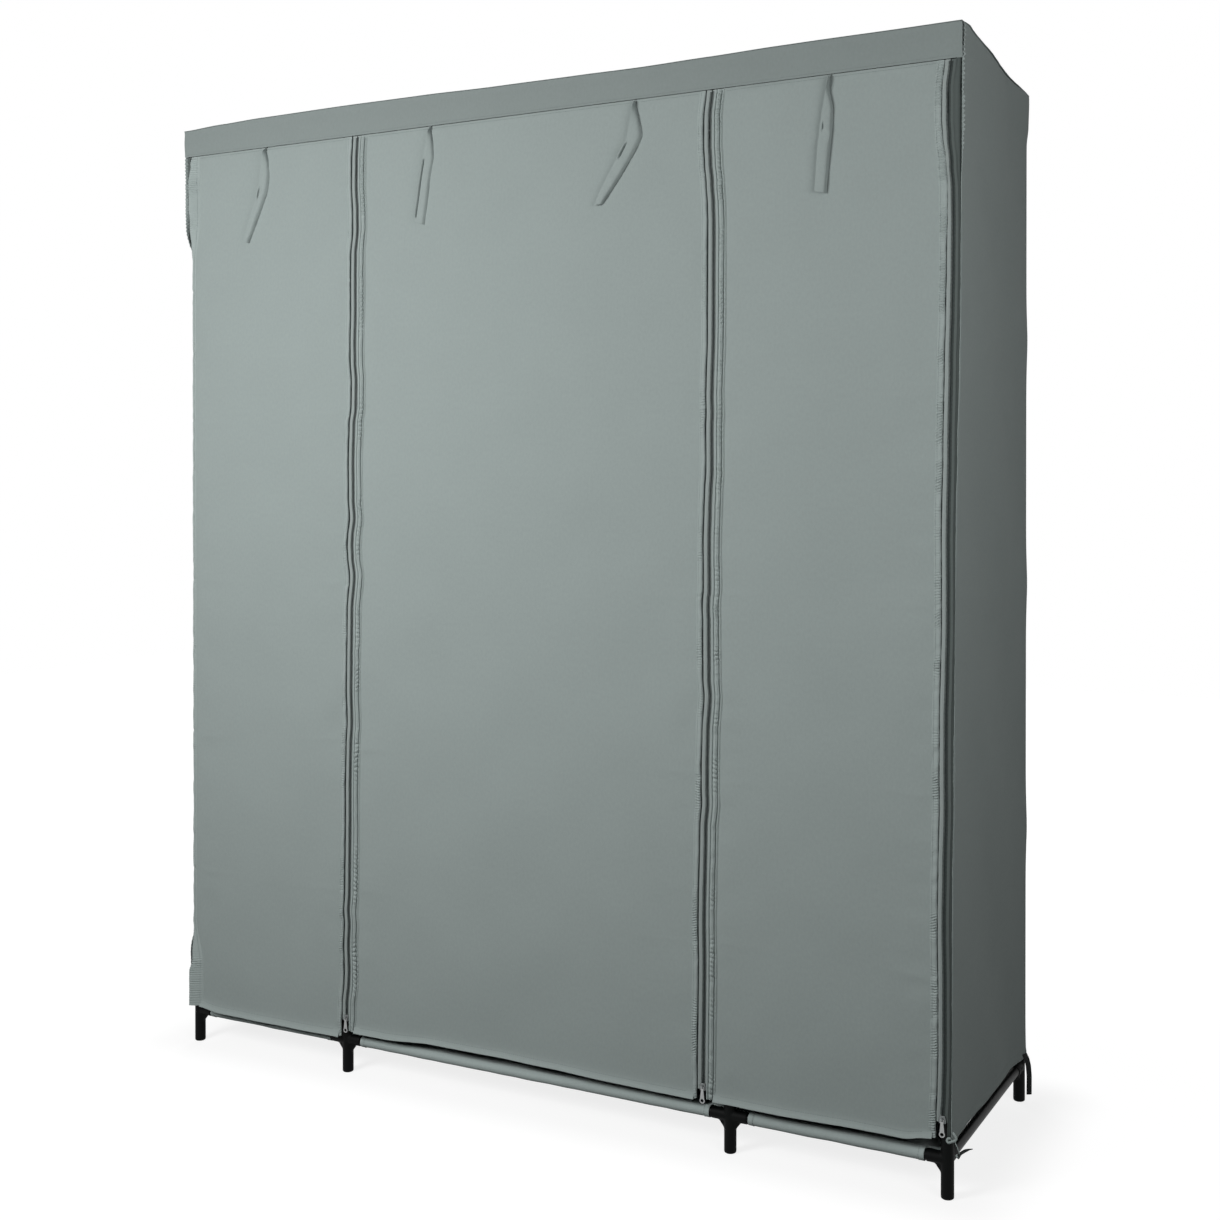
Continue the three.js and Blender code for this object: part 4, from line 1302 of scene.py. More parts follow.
def build_rails(sizes, finishes):
    """The rails at the top and the bottom."""
    for row, y in ROWS.items():
        for bay in BAYS:
            top = f"top_rail_{row}_{bay}"
            place_tubes(top, [across_bay(bay, y, TOP_RAIL_Z)], sizes, finishes, [top])
            bottom = f"bottom_rail_{row}_{bay}"
            place_tubes(bottom, [across_bay(bay, y, BOTTOM_RAIL_Z)], sizes, finishes)
    for column in COLUMNS:
        for level, height in (("top", TOP_RAIL_Z), ("bottom", BOTTOM_RAIL_Z)):
            node = f"{level}_depth_rail_{column}"
            place_tubes(node, [front_to_rear(column, height)], sizes, finishes, [node])


def build_hanging_rod(sizes, finishes):
    """The rod of the centre bay, and the brackets that carry it on the top depth rails."""
    for column, side in (("left_middle", 1), ("right_middle", -1)):
        x = COLUMNS[column]
        shape = add_rod(Shape(), (x, -0.010, TOP_RAIL_Z), (x, 0.010, TOP_RAIL_Z), 0.0103, 40)
        add_rod(shape, (x, 0, TOP_RAIL_Z), (x, 0, ROD_Z), 0.0085, 32)
        add_rod(shape, (x - side * 0.0095, 0, ROD_Z), (x + side * 0.030, 0, ROD_Z), 0.010, 40)
        bracket = remeshed("bracket", shape, 0.0016)
        place_moulding(f"rod_bracket_{column}", bracket, (0, 0, 0), finishes)
    gap = 0.003
    ends = (COLUMNS["left_middle"] + gap, 0, ROD_Z), (COLUMNS["right_middle"] - gap, 0, ROD_Z)
    place_tubes("hanging_rod", [ends], sizes, finishes, ["hanging_rod"])


def build_shelf_rods(sizes, finishes):
    """The four rods under each side shelf."""
    for bay in SIDE_BAYS:
        for number, level in enumerate(SHELF_LEVELS, 1):
            ends = [across_bay(bay, y, level) for y in ROWS.values()]
            ends += [front_to_rear(column, level) for column in BAYS[bay]]
            place_tubes(f"shelf_rods_{bay}_{number}", ends, sizes, finishes)


# Shelves: radius of the cloth round a rod and where it laps over a side rod, how far the sleeves
# stay from the posts, how deep a bottom shelf's corners are cut away and how far its panel reaches
# past the sleeves, and how far its free edges are turned down
SLEEVE_RADIUS, LAP_RADIUS = 0.0090, 0.0092
SLEEVE_INSET, BOTTOM_NOTCH, BOTTOM_REACH, TURNED_DOWN = 0.034, 0.0088, 0.0225, 0.0036


class ShelfPlan:
    """Where a shelf's cloth runs: round the rods from front seam to rear seam, and over its bay."""

    def __init__(self, bay, height, with_laps, sag):
        first, last = (COLUMNS[column] for column in BAYS[bay])
        self.height, self.with_laps, self.foot = height, with_laps, f"foot_front_{BAYS[bay][0]}"
        self.middle, self.half_bay = (first + last) / 2, (last - first) / 2
        self.half = self.half_bay - SLEEVE_INSET
        self.lap_edge = (ROWS["rear"] - ROWS["front"]) / 2 - (SLEEVE_INSET if with_laps else BOTTOM_NOTCH)
        self.profile, self.sleeve_rows = shelf_profile(sag, self.lap_edge)
        self.y, self.z = self.profile.T
        ends = self.half - np.array([0, 0.003, 0.0085, 0.0095])
        inner = spread(-self.half + 0.011, self.half - 0.011, 0.009)
        self.columns = np.concatenate([-ends, inner, ends[::-1]])

    def panel_rows(self):
        """The rows of the panel, which is wider than the sleeves."""
        numbers, first = np.arange(len(self.y)), self.sleeve_rows
        inside = np.abs(self.y) < self.lap_edge + 0.0001
        return np.where(inside & (numbers >= first) & (numbers < len(self.y) - first))[0]

    def round_rods(self):
        """Which rows go round a rod, and the directions away from the rod."""
        panel = (np.abs(self.y) < abs(ROWS["front"]) - 0.003) & (self.z > 0.0)
        rod_y = np.where(self.y < 0, ROWS["front"], ROWS["rear"])
        away = np.stack([0 * self.y, self.y - rod_y, self.z], -1)
        return ~panel, away / np.maximum(np.linalg.norm(away, axis=1, keepdims=True), 1e-9)


def shelf_profile(sag, edge):
    """The cloth from its front seam under the front rod, over and back to the rear seam, and how
    many of its points lie round the front rod."""
    front, rear = ROWS["front"], ROWS["rear"]
    radius, depth = SLEEVE_RADIUS, rear - front
    sleeve = [(front + 0.020, radius - 0.0016), (front + 0.014, radius - 0.0042)]
    for angle in np.radians(np.linspace(-60, -270, 22)):
        sleeve.append((front + radius * math.cos(angle), radius * math.sin(angle)))
    edges = [-edge - 0.0002, -edge, edge, edge + 0.0002]
    places = np.concatenate([np.linspace(front + 0.006, rear - 0.006, 42), edges])
    panel = []
    for y in sorted(set(np.round(places, 5))):
        share = (y - front) / depth
        panel.append((y, radius - sag * (4 * share * (1 - share)) ** 1.2))
    mirrored = [(-y, z) for y, z in reversed(sleeve)]
    return np.array(sleeve + panel + mirrored), len(sleeve)


def sleeve_grid(plan, round_rod, away):
    """The cloth over the width of its sleeves: it sags between the rods and puffs round them."""
    seed = 100 + round(plan.height * 1000) + round(plan.middle * 100)
    field, fine = drift(seed, 0.12, 0.5), drift(seed + 1, 0.03, 0.1)
    columns, y, z = plan.columns[None], plan.y[:, None], plan.z[:, None]
    grid = np.stack(np.broadcast_arrays(plan.middle + columns, y, plan.height + z), -1)
    dip = 1 - (np.abs(columns) / plan.half_bay) ** 2 * 0.5
    rise = (z - SLEEVE_RADIUS) * (dip - 1) if plan.with_laps else 0
    grid[..., 2] += np.where(round_rod[:, None], 0, rise + 0.0010 * field(columns, y))
    band = (np.abs(columns) > plan.half - 0.009) * 0.0005
    puff = 0.00025 * fine(columns, z) + band
    return grid + np.where(round_rod[:, None], puff, 0)[..., None] * away[:, None]


def panel_side(plan, y, edge_z, side):
    """The panel past the sleeves at one side: over the side rod, or to its free edge."""
    lap = [(plan.half_bay + LAP_RADIUS * math.sin(angle), LAP_RADIUS * math.cos(angle))
           for angle in np.radians(np.linspace(-22, 88, 9))]
    beyond = [(plan.half + 0.010, None), (plan.half + 0.020, None)]
    beyond += lap if plan.with_laps else [(plan.half + BOTTOM_REACH, None)]
    target = plan.height + lap[0][1] if plan.with_laps else edge_z
    columns = []
    for place, top in beyond:
        share = (place - plan.half) / (lap[0][0] - plan.half)
        level = edge_z + (target - edge_z) * share if top is None else np.full(len(y), plan.height + top)
        columns.append(np.stack([np.full(len(y), plan.middle + side * place), y, level], -1))
    return np.stack(columns[::side], 1)


def panel_grid(plan, grid, rows):
    """The panel over its whole width, with a bottom shelf's free edges turned down."""
    y = plan.y[rows]
    left, right = panel_side(plan, y, grid[rows, 0, 2], -1), panel_side(plan, y, grid[rows, -1, 2], 1)
    panel = np.concatenate([left, grid[rows], right], 1)
    if plan.with_laps:
        return panel
    turned = panel[[0, -1]] - UP * TURNED_DOWN
    return np.concatenate([turned[:1], panel, turned[1:]])


def build_shelf(name, plan, cloth, finishes):
    """A shelf's panel with its two sleeves, and its seams."""
    round_rod, away = plan.round_rods()
    grid, rows = sleeve_grid(plan, round_rod, away), plan.panel_rows()
    shape = add_cloth(Shape(), panel_grid(plan, grid, rows), cloth.thickness)
    for sleeve in (grid[: rows[0] + 1], grid[rows[-1]:]):
        add_cloth(shape, sleeve, cloth.thickness)
    piece = place_piece(name, shape.mesh(name), finishes["shelf"], FRAME, [name])
    threads = Shape()
    for place in (ROWS["front"] + 0.014, ROWS["rear"] - 0.014):
        row = int(np.argmin(np.abs(plan.y - place) + (plan.z < 0)))
        sew(threads, grid[row], UP, cloth)
    for column in (2, -3):
        for part in (np.where(round_rod & (plan.y < 0))[0], np.where(round_rod & (plan.y > 0))[0]):
            sew(threads, grid[part, column], away[part], cloth)
    stitches = place_stitches(name, threads, finishes)
    length = length_of(plan.profile)
    past = plan.half_bay + 0.016 - plan.half if plan.with_laps else BOTTOM_REACH
    flat = 2 * (plan.half + past), length
    area = 2 * plan.half * length + 2 * 2 * plan.lap_edge * past


# Cover: how far the top's front edge rises along x, and its side edge along y
FRONT_EDGE_RISE = (
    (-0.755, -0.0005), (-0.66, 0.0030), (-0.57, 0.0050), (-0.38, 0.0058), (-0.21, 0.0048),
    (-0.04, 0.0022), (0.11, 0.0013), (0.226, 0.0003), (0.35, 0.0016), (0.47, 0.0033), (0.54, 0.0036),
    (0.66, 0.0034), (0.755, 0.0038))
SIDE_EDGE_RISE = (
    (-0.237, 0.0030), (-0.210, 0.0092), (-0.188, 0.0106), (-0.166, 0.0063), (-0.137, 0.0046),
    (-0.078, 0.0028), (-0.047, 0.0012), (-0.016, -0.0020), (0.016, -0.0054), (0.048, -0.0074),
    (0.082, -0.0092), (0.116, -0.0095), (0.151, -0.0082), (0.201, -0.0068), (0.229, -0.0075))
# The share of that rise that the right and the left side have
RIGHT_RISE, LEFT_RISE = 0.8, 0.35

# How much further out than the left front corner the right one stands, by height
RIGHT_CORNER_OUT = (
    (0.08, -0.0010), (0.45, -0.0012), (0.60, 0), (0.85, 0), (1.00, 0.0012), (1.12, 0.0026),
    (1.25, 0.0056), (1.40, 0.0062), (1.75, 0.0060))


def cover_half(z):
    """Half the width of the cover at its front corners, by height."""
    return SIDE_X + 0.007 * (z - SIDE_HEM) / (COVER_TOP - SIDE_HEM)


def top_surface():
    """The top's cloth: it sags between the rails, and its front and side seams rise and fall."""
    xs = spread(-1, 1, 0.011)
    at_front = [FRONT_Y - 0.0034, FRONT_Y - 0.0022, FRONT_Y - 0.0008]
    ys = np.concatenate([at_front, spread(FRONT_Y + 0.002, BACK_Y - 0.002, 0.009), [BACK_Y]])
    y = ys[:, None] + 0 * xs[None]
    share = (y - FRONT_Y) / (BACK_Y - FRONT_Y)
    back = np.clip(share, 0, 1)
    half = cover_half(COVER_TOP) + (SIDE_X - cover_half(COVER_TOP)) * back + 0.0012
    right_out = through(COVER_TOP, RIGHT_CORNER_OUT) * ease(xs, 0.9, 1.0)[None]
    x = xs[None] * half + right_out * np.clip(1 - share, 0, 1)
    by_front = np.exp(-np.maximum(share, 0) * 0.46 / 0.035)
    by_side = np.exp(-(half - np.abs(x)) / 0.045)
    inside = back * (1 - back) * 4
    rails = sum(hill(x, column, 0.05) for column in COLUMNS.values())
    sag = 0.0045 * inside * (1 - by_side) * (1 - 0.8 * np.clip(rails, 0, 1))
    uneven = 0.0012 * drift(61, 0.06, 0.4)(x, y) * inside
    z = COVER_TOP - 0.0004 - sag + uneven + through(x, FRONT_EDGE_RISE) * by_front
    side = through(y, SIDE_EDGE_RISE) * np.where(x > 0, RIGHT_RISE, LEFT_RISE)
    z = z + side * by_side * (1 - by_front)
    return np.stack([x, y, np.maximum(z, COVER_TOP - 0.0105)], -1)


def build_top(cloth, finishes):
    """The top's cloth and its seams."""
    grid = top_surface()
    piece = place_cloth("cover_top", grid, cloth.thickness, finishes["cover"], replaces=["cover_top"])
    threads = Shape()
    for line in (grid[3:-1, 1], grid[3:-1, -2], grid[3, 1:-1]):
        sew(threads, line, UP, cloth)
    stitches = place_stitches("cover_top", threads, finishes)
    return grid


def header_surface(top_grid):
    """The band along the front, sewn to the top under a small lip."""
    x_edge, z_edge = top_grid[1, :, 0], top_grid[1, :, 2]
    ends = [0.0004, 0.0016, 0.004, 0.0065, 0.009], [0.0472, 0.0478]
    rows = np.concatenate([ends[0], spread(0.013, 0.0455, 0.005), ends[1]])
    xs = spread(-1, 1, 0.008)
    half = cover_half(SEAM_Z + rows)[:, None] + 0.0008
    x = xs[None] * half + through(SEAM_Z, RIGHT_CORNER_OUT) * ease(xs, 0.9, 1.0)[None]
    low, top = DOOR_TOP + 0.0001, np.interp(x, x_edge, z_edge) - 0.0011
    shares = (rows / rows[-1])[:, None]
    z = low + (top - low) * shares
    lift = 0.0010 + 0.0006 * drift(71, 0.05, 0.3)(x, z * 0.4) * np.sin(np.pi * shares)
    lift = lift + 0.00025 * drift(72, 0.02, 0.07)(x, z * 0.2) * (1 - shares)
    lift = lift + 0.0011 * hill(shares, 0.55, 0.35) + 0.0016 * ease(shares, 0.93, 1.0)
    lift = lift * (0.35 + 0.65 * ease(shares, 0.0, 0.14))
    lift = lift - 0.0030 * ease(xs, 0.986, 1.0)[None] * (1 - 0.4 * shares)
    return np.stack([x, FRONT_Y - lift, z], -1)


def build_header(top_grid, cloth, finishes):
    """The band along the front, from which the doors hang."""
    grid, node = header_surface(top_grid), "cover_header"
    # Its finish is the cover's cloth darkened: painted shade.
    piece = place_cloth(node, grid, cloth.thickness, finishes["header"], replaces=[node])
    threads = sew(Shape(), grid[2, 1:-1], FORWARD, cloth)
    stitches = place_stitches(node, threads, finishes)


def corner_seam(sign, z):
    """The place in plan of a front corner's seam, drawn for the right-hand side."""
    out = through(z, RIGHT_CORNER_OUT) if sign > 0 else 0 * z
    place = np.stack([cover_half(z) - 0.0002 + out, 0 * z + FRONT_Y + 0.0055], 1)
    if sign < 0:
        x, y = ZIPS["left_corner"].place(-0.0143, z)
        place = place + (np.stack([-x, y], 1) - place) * wrap_share(z)[:, None]
    return place


def risen(grid, sign, z):
    """A side's points with the top edge's rise and the drop of the rear hem."""
    grid = grid.copy()
    rise = through(grid[..., 1], SIDE_EDGE_RISE) * (RIGHT_RISE if sign > 0 else LEFT_RISE)
    grid[..., 2] += rise * ease(z, COVER_TOP - 0.10, COVER_TOP)[:, None]
    grid[..., 2] -= 0.010 * ease(grid[..., 1], 0.10, 0.225) * np.exp(-(z - SIDE_HEM) / 0.12)[:, None]
    return grid


def upright(plan, sign, z):
    """Places in plan, drawn for the right-hand side, as points at their heights."""
    heights = np.broadcast_to(z[:, None, None], (*plan.shape[:2], 1))
    return np.concatenate([plan * [sign, 1], heights], 2)


def side_grid(sign, z):
    """The side's cloth from its rear corner forward to the front seam: tight over the connectors,
    drawn in between them, with soft folds that run down and back."""
    seam_place = corner_seam(sign, z)
    levels = (BOTTOM_RAIL_Z, *SHELF_LEVELS, TOP_RAIL_Z)
    at_sockets = np.clip(sum(hill(z, level, 0.050) for level in levels), 0, 1)
    hug = 0.0027 * (1 - at_sockets)
    rear_out = (0.0025 if sign > 0 else 0) * ease(z, 1.655, 1.69)
    rear = BACK_Y - 0.0092
    plan = []
    bend = 0.009
    for angle in np.radians([90, 68, 45, 22, 0]):
        x = SIDE_X + rear_out - bend - hug * (1 - math.sin(angle)) + bend * math.cos(angle)
        plan.append(np.stack([x, 0 * z + rear + bend * math.sin(angle)], 1))
    base = SIDE_X + rear_out - hug
    for share in np.linspace(0.02, 1.0, 47):
        x, y = base + (seam_place[:, 0] - base) * share, rear + (seam_place[:, 1] - rear) * share
        plan.append(np.stack([x, y], 1))
    plan = np.stack(plan, 1)
    y, height = plan[..., 1], z[:, None]
    across = np.clip((rear - y) / (rear - seam_place[:, 1:]), 0, 1)
    middle = np.sin(np.pi * across) ** 0.8
    seed = 200 if sign > 0 else 240
    relief = 0.0010 * drift(seed, 0.12, 0.6)(y, height)
    relief += 0.0003 * drift(seed + 1, 0.04, 0.15)(y, height) - 0.0016
    relief += 0.0016 * np.sin((height + y * 1.6) * 2 * math.pi / 0.52 + 0.6)
    relief += 0.0005 * crease_lines(y, height, across, 0.02 * (across - 0.5))
    edge = 0.0010 * drift_along(seed + 2, 0.05, 0.25, height) * np.exp(-across / 0.10)
    plan[..., 0] += relief * middle + edge * ease(across, 0.0, 0.04) * (1 - at_sockets[:, None])
    return upright(plan, sign, z)


# The strip beside a corner zip, from the corner's seam to the zip: share, and how far it lies back
STRIP_SECTION = (
    (-0.05, 0.0), (0.06, 0.0026), (0.14, 0.0040), (0.24, 0.0042), (0.32, 0.0030), (0.38, 0.0012),
    (0.48, 0.0003), (0.64, 0.0006), (0.82, 0.0006), (1.0, 0.0))

# One leaf of a corner's flange, from the seam to its edge: share of its reach, and side
LEAF = ((-0.10, 1.0), (0.35, 1.0), (0.75, 1.0), (0.96, 0.8), (1.04, 0.0))
LEAF_HALF = 0.00042


def corner_flange(sign, z, seam_place):
    """The flange that stands out along a front corner's seam, in plan, two leaves of cloth thick."""
    seed = 220 if sign > 0 else 260
    wide, lean = drift_along(seed, 0.06, 0.4, z), drift_along(seed + 1, 0.05, 0.4, z)
    fine = drift_along(seed + 2, 0.010, 0.03, z)
    scallop = np.sin(2 * math.pi * z / 0.0068 + 0.8 * drift_along(seed + 3, 0.04, 0.2, z))
    strength = 0.35 + 0.65 * ease(z, 1.50, 1.62)
    wrapped = wrap_share(z) if sign < 0 else 0 * z
    high = ease(z, 1.46, 1.62)
    reach = 0.0024 + 0.0022 * high + 0.0004 * wide + 0.0003 * fine + 0.0007 * scallop * strength
    reach = reach * (1 - 0.3 * wrapped)
    turn = -112 + 70 * high + 12 * lean + 9 * fine * strength + 14 * scallop * strength + 20 * wrapped
    angle = np.radians(turn)
    out = np.stack([np.cos(angle), np.sin(angle)], 1)
    beside = np.stack([-out[:, 1], out[:, 0]], 1) * LEAF_HALF
    leaves = LEAF + tuple((distance, -side) for distance, side in reversed(LEAF[:-1]))
    return [seam_place + out * (reach * distance)[:, None] + beside * side for distance, side in leaves]


def corner_strip(sign, z, seam_place):
    """The strip from a front corner's seam to its zip, in plan."""
    edge_x, edge_y = ZIPS["right_corner" if sign > 0 else "left_corner"].place(sign * 0.0076, z)
    edge = np.stack([sign * edge_x, edge_y - 0.0006], 1)
    strip = []
    for share, depth in STRIP_SECTION:
        point = seam_place + (edge - seam_place) * share
        point[:, 1] += depth
        strip.append(point)
    return strip


# The lift of a side's rows at its turned hem, and their heights above it
SIDE_HEM_ROWS = (0.010, 0.004, 0.0006, 0.0, 0.0006, 0.004, 0.0085, 0.0115)
SIDE_HEM_LIFT = (0.0, 0.0, 0.0001, 0.0005, 0.0009, 0.0008, 0.0008, 0.0002)


def build_side(sign, cloth, finishes):
    """A side of the cover with its seams, and the pieces of its front corner."""
    name = "right" if sign > 0 else "left"
    node = f"cover_side_{name}"
    top = COVER_TOP - 0.0018
    z = np.concatenate([SIDE_HEM + np.array(SIDE_HEM_ROWS), spread(SIDE_HEM + 0.015, top, cloth.row_pitch)])
    lift = np.zeros(len(z))
    lift[: len(SIDE_HEM_LIFT)] = SIDE_HEM_LIFT
    grid = side_grid(sign, z)
    grid[..., 0] += sign * lift[:, None]
    grid = risen(grid, sign, z)
    piece = place_cloth(node, grid, cloth.thickness, finishes["cover"], replaces=[node])
    outward = np.array([sign * 1.0, 0, 0])
    threads = sew(Shape(), grid[5, 6:-1], outward, cloth)
    sew(threads, grid[5:-1, 4], outward, cloth)
    fine_z = spread(SIDE_HEM + 0.001, top, cloth.fine_pitch)
    flange, strip = (
        risen(upright(np.stack(part(sign, fine_z, corner_seam(sign, fine_z)), 1), sign, fine_z), sign, fine_z)
        for part in (corner_flange, corner_strip))
    flange_piece = place_cloth(f"cover_flange_{name}", flange, cloth.thickness, finishes["cover"])
    below = fine_z < SEAM_Z - 0.001
    # The strip takes the darker strip finish: painted shade.
    strip_piece = place_cloth(f"cover_strip_{name}", strip[below], cloth.thickness, finishes["strip"])
    sew(threads, flange[4:-4, 7], np.array([-sign * 0.64, -0.77, 0]), cloth)
    stitches = place_stitches(node, threads, finishes)


def back_surface():
    """The back's cloth: its creases and unevenness, and the top edge's rise at the right."""
    hem = SIDE_HEM - 0.010 + np.array([0.0, 0.003, 0.008, 0.0115])
    z = np.concatenate([hem, spread(SIDE_HEM + 0.006, COVER_TOP - 0.003, 0.011)])[:, None]
    xs = spread(-1, 1, 0.0145)
    half = SIDE_X - 0.0091
    x = xs[None] * half + 0 * z
    relief = 0.0009 * drift(301, 0.18, 0.8)(x, z) + 0.0003 * drift(302, 0.05, 0.2)(x, z)
    for crease in CREASES:
        relief = relief + 0.0006 * hill(z, crease + 0.004 * np.sin(3 * x), 0.006)
    inside = 1 - np.abs(xs[None]) ** 8
    relief = np.clip(relief, -0.0004, 0.004) * inside * ease(z, SIDE_HEM - 0.01, SIDE_HEM + 0.05)
    doubled = np.where(np.arange(len(z)) < 3, 0.0006, 0)[:, None]
    drop = through(np.full_like(x, BACK_Y), SIDE_EDGE_RISE) * RIGHT_RISE
    drop = drop * np.exp(-(half - np.abs(x)) / 0.045) * ease(z, COVER_TOP - 0.1, COVER_TOP) * (x > 0)
    return np.stack([x, BACK_Y - 0.0002 + relief + doubled, z + drop], -1)


def build_back(cloth, finishes):
    """The back's cloth and its seams."""
    grid = back_surface()
    piece = place_cloth("cover_back", grid, cloth.thickness, finishes["cover"], replaces=["cover_back"])
    threads = Shape()
    for line in (grid[4:-1, 1], grid[4:-1, -2], grid[2, 1:-1]):
        sew(threads, line, BACKWARD, cloth)
    stitches = place_stitches("cover_back", threads, finishes)


# Ties: door, number, the left and right edges as x, how far it stands out from the zips' plane, and
# z, and the slit: where it starts and ends along the tie, and its place across
DOOR_TIES = (
    ("left", 1,
     ((-0.5534, 0.0110, 1.7015), (-0.5619, 0.0095, 1.6655), (-0.5670, 0.0080, 1.6365),
      (-0.5748, 0.0085, 1.6036), (-0.5903, 0.0090, 1.5675), (-0.6040, 0.0090, 1.5311)),
     ((-0.5577, 0.0020, 1.7036), (-0.5490, 0.0050, 1.6725), (-0.5459, 0.0070, 1.6458),
      (-0.5508, 0.0075, 1.6146), (-0.5710, 0.0080, 1.5735), (-0.5952, 0.0080, 1.5231)),
     (0.42, 0.58, 0.22)),
    ("centre", 2,
     ((-0.1834, 0.0110, 1.6994), (-0.1917, 0.0095, 1.6649), (-0.1970, 0.0080, 1.6447),
      (-0.2022, 0.0085, 1.6136), (-0.2083, 0.0090, 1.5720), (-0.2160, 0.0090, 1.5340)),
     ((-0.1867, 0.0020, 1.7016), (-0.1792, 0.0050, 1.6715), (-0.1765, 0.0070, 1.6429),
      (-0.1830, 0.0075, 1.6120), (-0.1886, 0.0080, 1.5704), (-0.1962, 0.0080, 1.5262)),
     (0.33, 0.98, 0.12)),
    ("centre", 3,
     ((0.2192, 0.0110, 1.6960), (0.2129, 0.0095, 1.6661), (0.2058, 0.0080, 1.6345),
      (0.1864, 0.0085, 1.6020), (0.1662, 0.0090, 1.5694), (0.1447, 0.0090, 1.5310)),
     ((0.2174, 0.0020, 1.6981), (0.2278, 0.0050, 1.6621), (0.2325, 0.0070, 1.6384),
      (0.2210, 0.0075, 1.6167), (0.1936, 0.0080, 1.5769), (0.1589, 0.0080, 1.5323)),
     (0.36, 0.56, 0.16)),
    ("right", 4,
     ((0.5560, 0.0110, 1.6984), (0.5506, 0.0095, 1.6719), (0.5436, 0.0080, 1.6363),
      (0.5405, 0.0085, 1.6151), (0.5375, 0.0090, 1.5815), (0.5326, 0.0090, 1.5206)),
     ((0.5549, 0.0020, 1.7007), (0.5538, 0.0050, 1.6756), (0.5610, 0.0070, 1.6468),
      (0.5596, 0.0075, 1.6102), (0.5556, 0.0080, 1.5738), (0.5502, 0.0080, 1.5161)),
     (0.40, 0.50, 0.25)),
)
TIE_SHARES = (0, 0.05, 0.12, 0.18, 0.21, 0.24, 0.30, 0.40, 0.52, 0.64, 0.76, 0.88, 0.95, 1.0)
TIE_ROWS, TIE_MIDDLE, RIBBON_ROWS = 60, 7, 40


# Ribbons at the cover's bottom corners: half width, and points of the middle line
CORNER_RIBBONS = (
    # This tape takes the lighter doubled finish: painted highlight.
    ("corner_tape_front_right", "doubled", 0.0016,
     ((0.7500, -0.2384, 0.1090), (0.7530, -0.2392, 0.1065), (0.7562, -0.2388, 0.1010),
      (0.7540, -0.2384, 0.0975), (0.7490, -0.2392, 0.0955), (0.7440, -0.2390, 0.0925),
      (0.7410, -0.2384, 0.0945), (0.7425, -0.2380, 0.0990), (0.7470, -0.2376, 0.0990))),
    ("corner_string_front_right", "cover", 0.0008,
     ((0.7536, -0.2380, 0.0950), (0.7560, -0.2384, 0.0900), (0.7585, -0.2380, 0.0850),
      (0.7600, -0.2370, 0.0790), (0.7560, -0.2330, 0.0730))),
    ("corner_leaf_front_right", "dark_ribbon", 0.0022,
     ((0.7560, -0.2330, 0.0700), (0.7610, -0.2370, 0.0790), (0.7680, -0.2380, 0.0850),
      (0.7745, -0.2380, 0.0885), (0.7800, -0.2375, 0.0900))),
    ("corner_ribbon_rear_right", "dark_ribbon", 0.0045,
     ((0.7500, 0.1960, 0.0900), (0.7520, 0.2060, 0.0780), (0.7525, 0.2150, 0.0640),
      (0.7520, 0.2230, 0.0440), (0.7505, 0.2290, 0.0220), (0.7500, 0.2310, 0.0080))),
    ("corner_ribbon_rear_left", "dark_ribbon", 0.0030,
     ((-0.7520, 0.2040, 0.0860), (-0.7540, 0.2130, 0.0640), (-0.7535, 0.2230, 0.0440),
      (-0.7515, 0.2320, 0.0220), (-0.7500, 0.2375, 0.0080))),
)


def eased_line(points, count):
    """A soft line through points, as many places as asked, evenly spaced."""
    points = np.asarray(points, float)
    lengths = lengths_along(points)
    line = line_at(np.linspace(0, lengths[-1], count), lengths, points)
    for _ in range(max(2, count // 12)):
        line[1:-1] = (line[:-2] + 2 * line[1:-1] + line[2:]) / 4
    return line


def tie_surface(number, left, right, start, end, slit):
    """A tie's cloth between its two edges, with the slit where it folds over itself."""
    left, right = eased_line(left, TIE_ROWS), eased_line(right, TIE_ROWS)
    shares = np.array(TIE_SHARES)
    along = np.linspace(0, 1, TIE_ROWS)[:, None]
    x, lift, z = (left[:, None] + (right - left)[:, None] * shares[None, :, None]).transpose(2, 0, 1)
    opened = ease(along, start, start + 0.06) * (1 - ease(along, end - 0.06, end))
    lift = lift + 0.0010 * np.sin(np.pi * shares)[None] - 0.0070 * opened * hill(shares, slit, 0.050)[None]
    lift = lift + 0.0012 * opened * (shares < slit)[None]
    lift = lift + 0.0006 * drift(400 + number, 0.02, 0.08)(z, x)
    lift = lift - 0.0050 * ease(shares, 0.84, 1.0)[None]
    lift = np.maximum(lift * (0.30 + 0.70 * ease(DOOR_TOP - z, 0.0, 0.009)), 0.0016)
    return np.stack([x, FRONT_Y - lift, np.minimum(z, DOOR_TOP - 0.0006)], -1)


def build_ties(cloth, finishes):
    """The ribbons sewn into the header's seam."""
    for door, number, left, right, slit in DOOR_TIES:
        grid = tie_surface(number, left, right, *slit)
        body = f"door_{door}"
        piece = place_cloth(f"tie_{door}_{number}", grid, cloth.thickness, finishes["cover"], body)


def add_cord(shape, line, radius, sides=8):
    """Adds a round cord along a line of points."""
    tangent = unit(np.gradient(line, axis=0))
    first = unit(np.cross(tangent, np.array([0.3, -0.9, 0.3])))
    second = np.cross(tangent, first)
    angles = np.linspace(0, 2 * math.pi, sides, endpoint=False)
    rings = (
        line[:, None]
        + first[:, None] * np.cos(angles)[None, :, None] * radius
        + second[:, None] * np.sin(angles)[None, :, None] * radius
    )
    return shape.add(rings.reshape(-1, 3), ring_faces(len(line), sides))


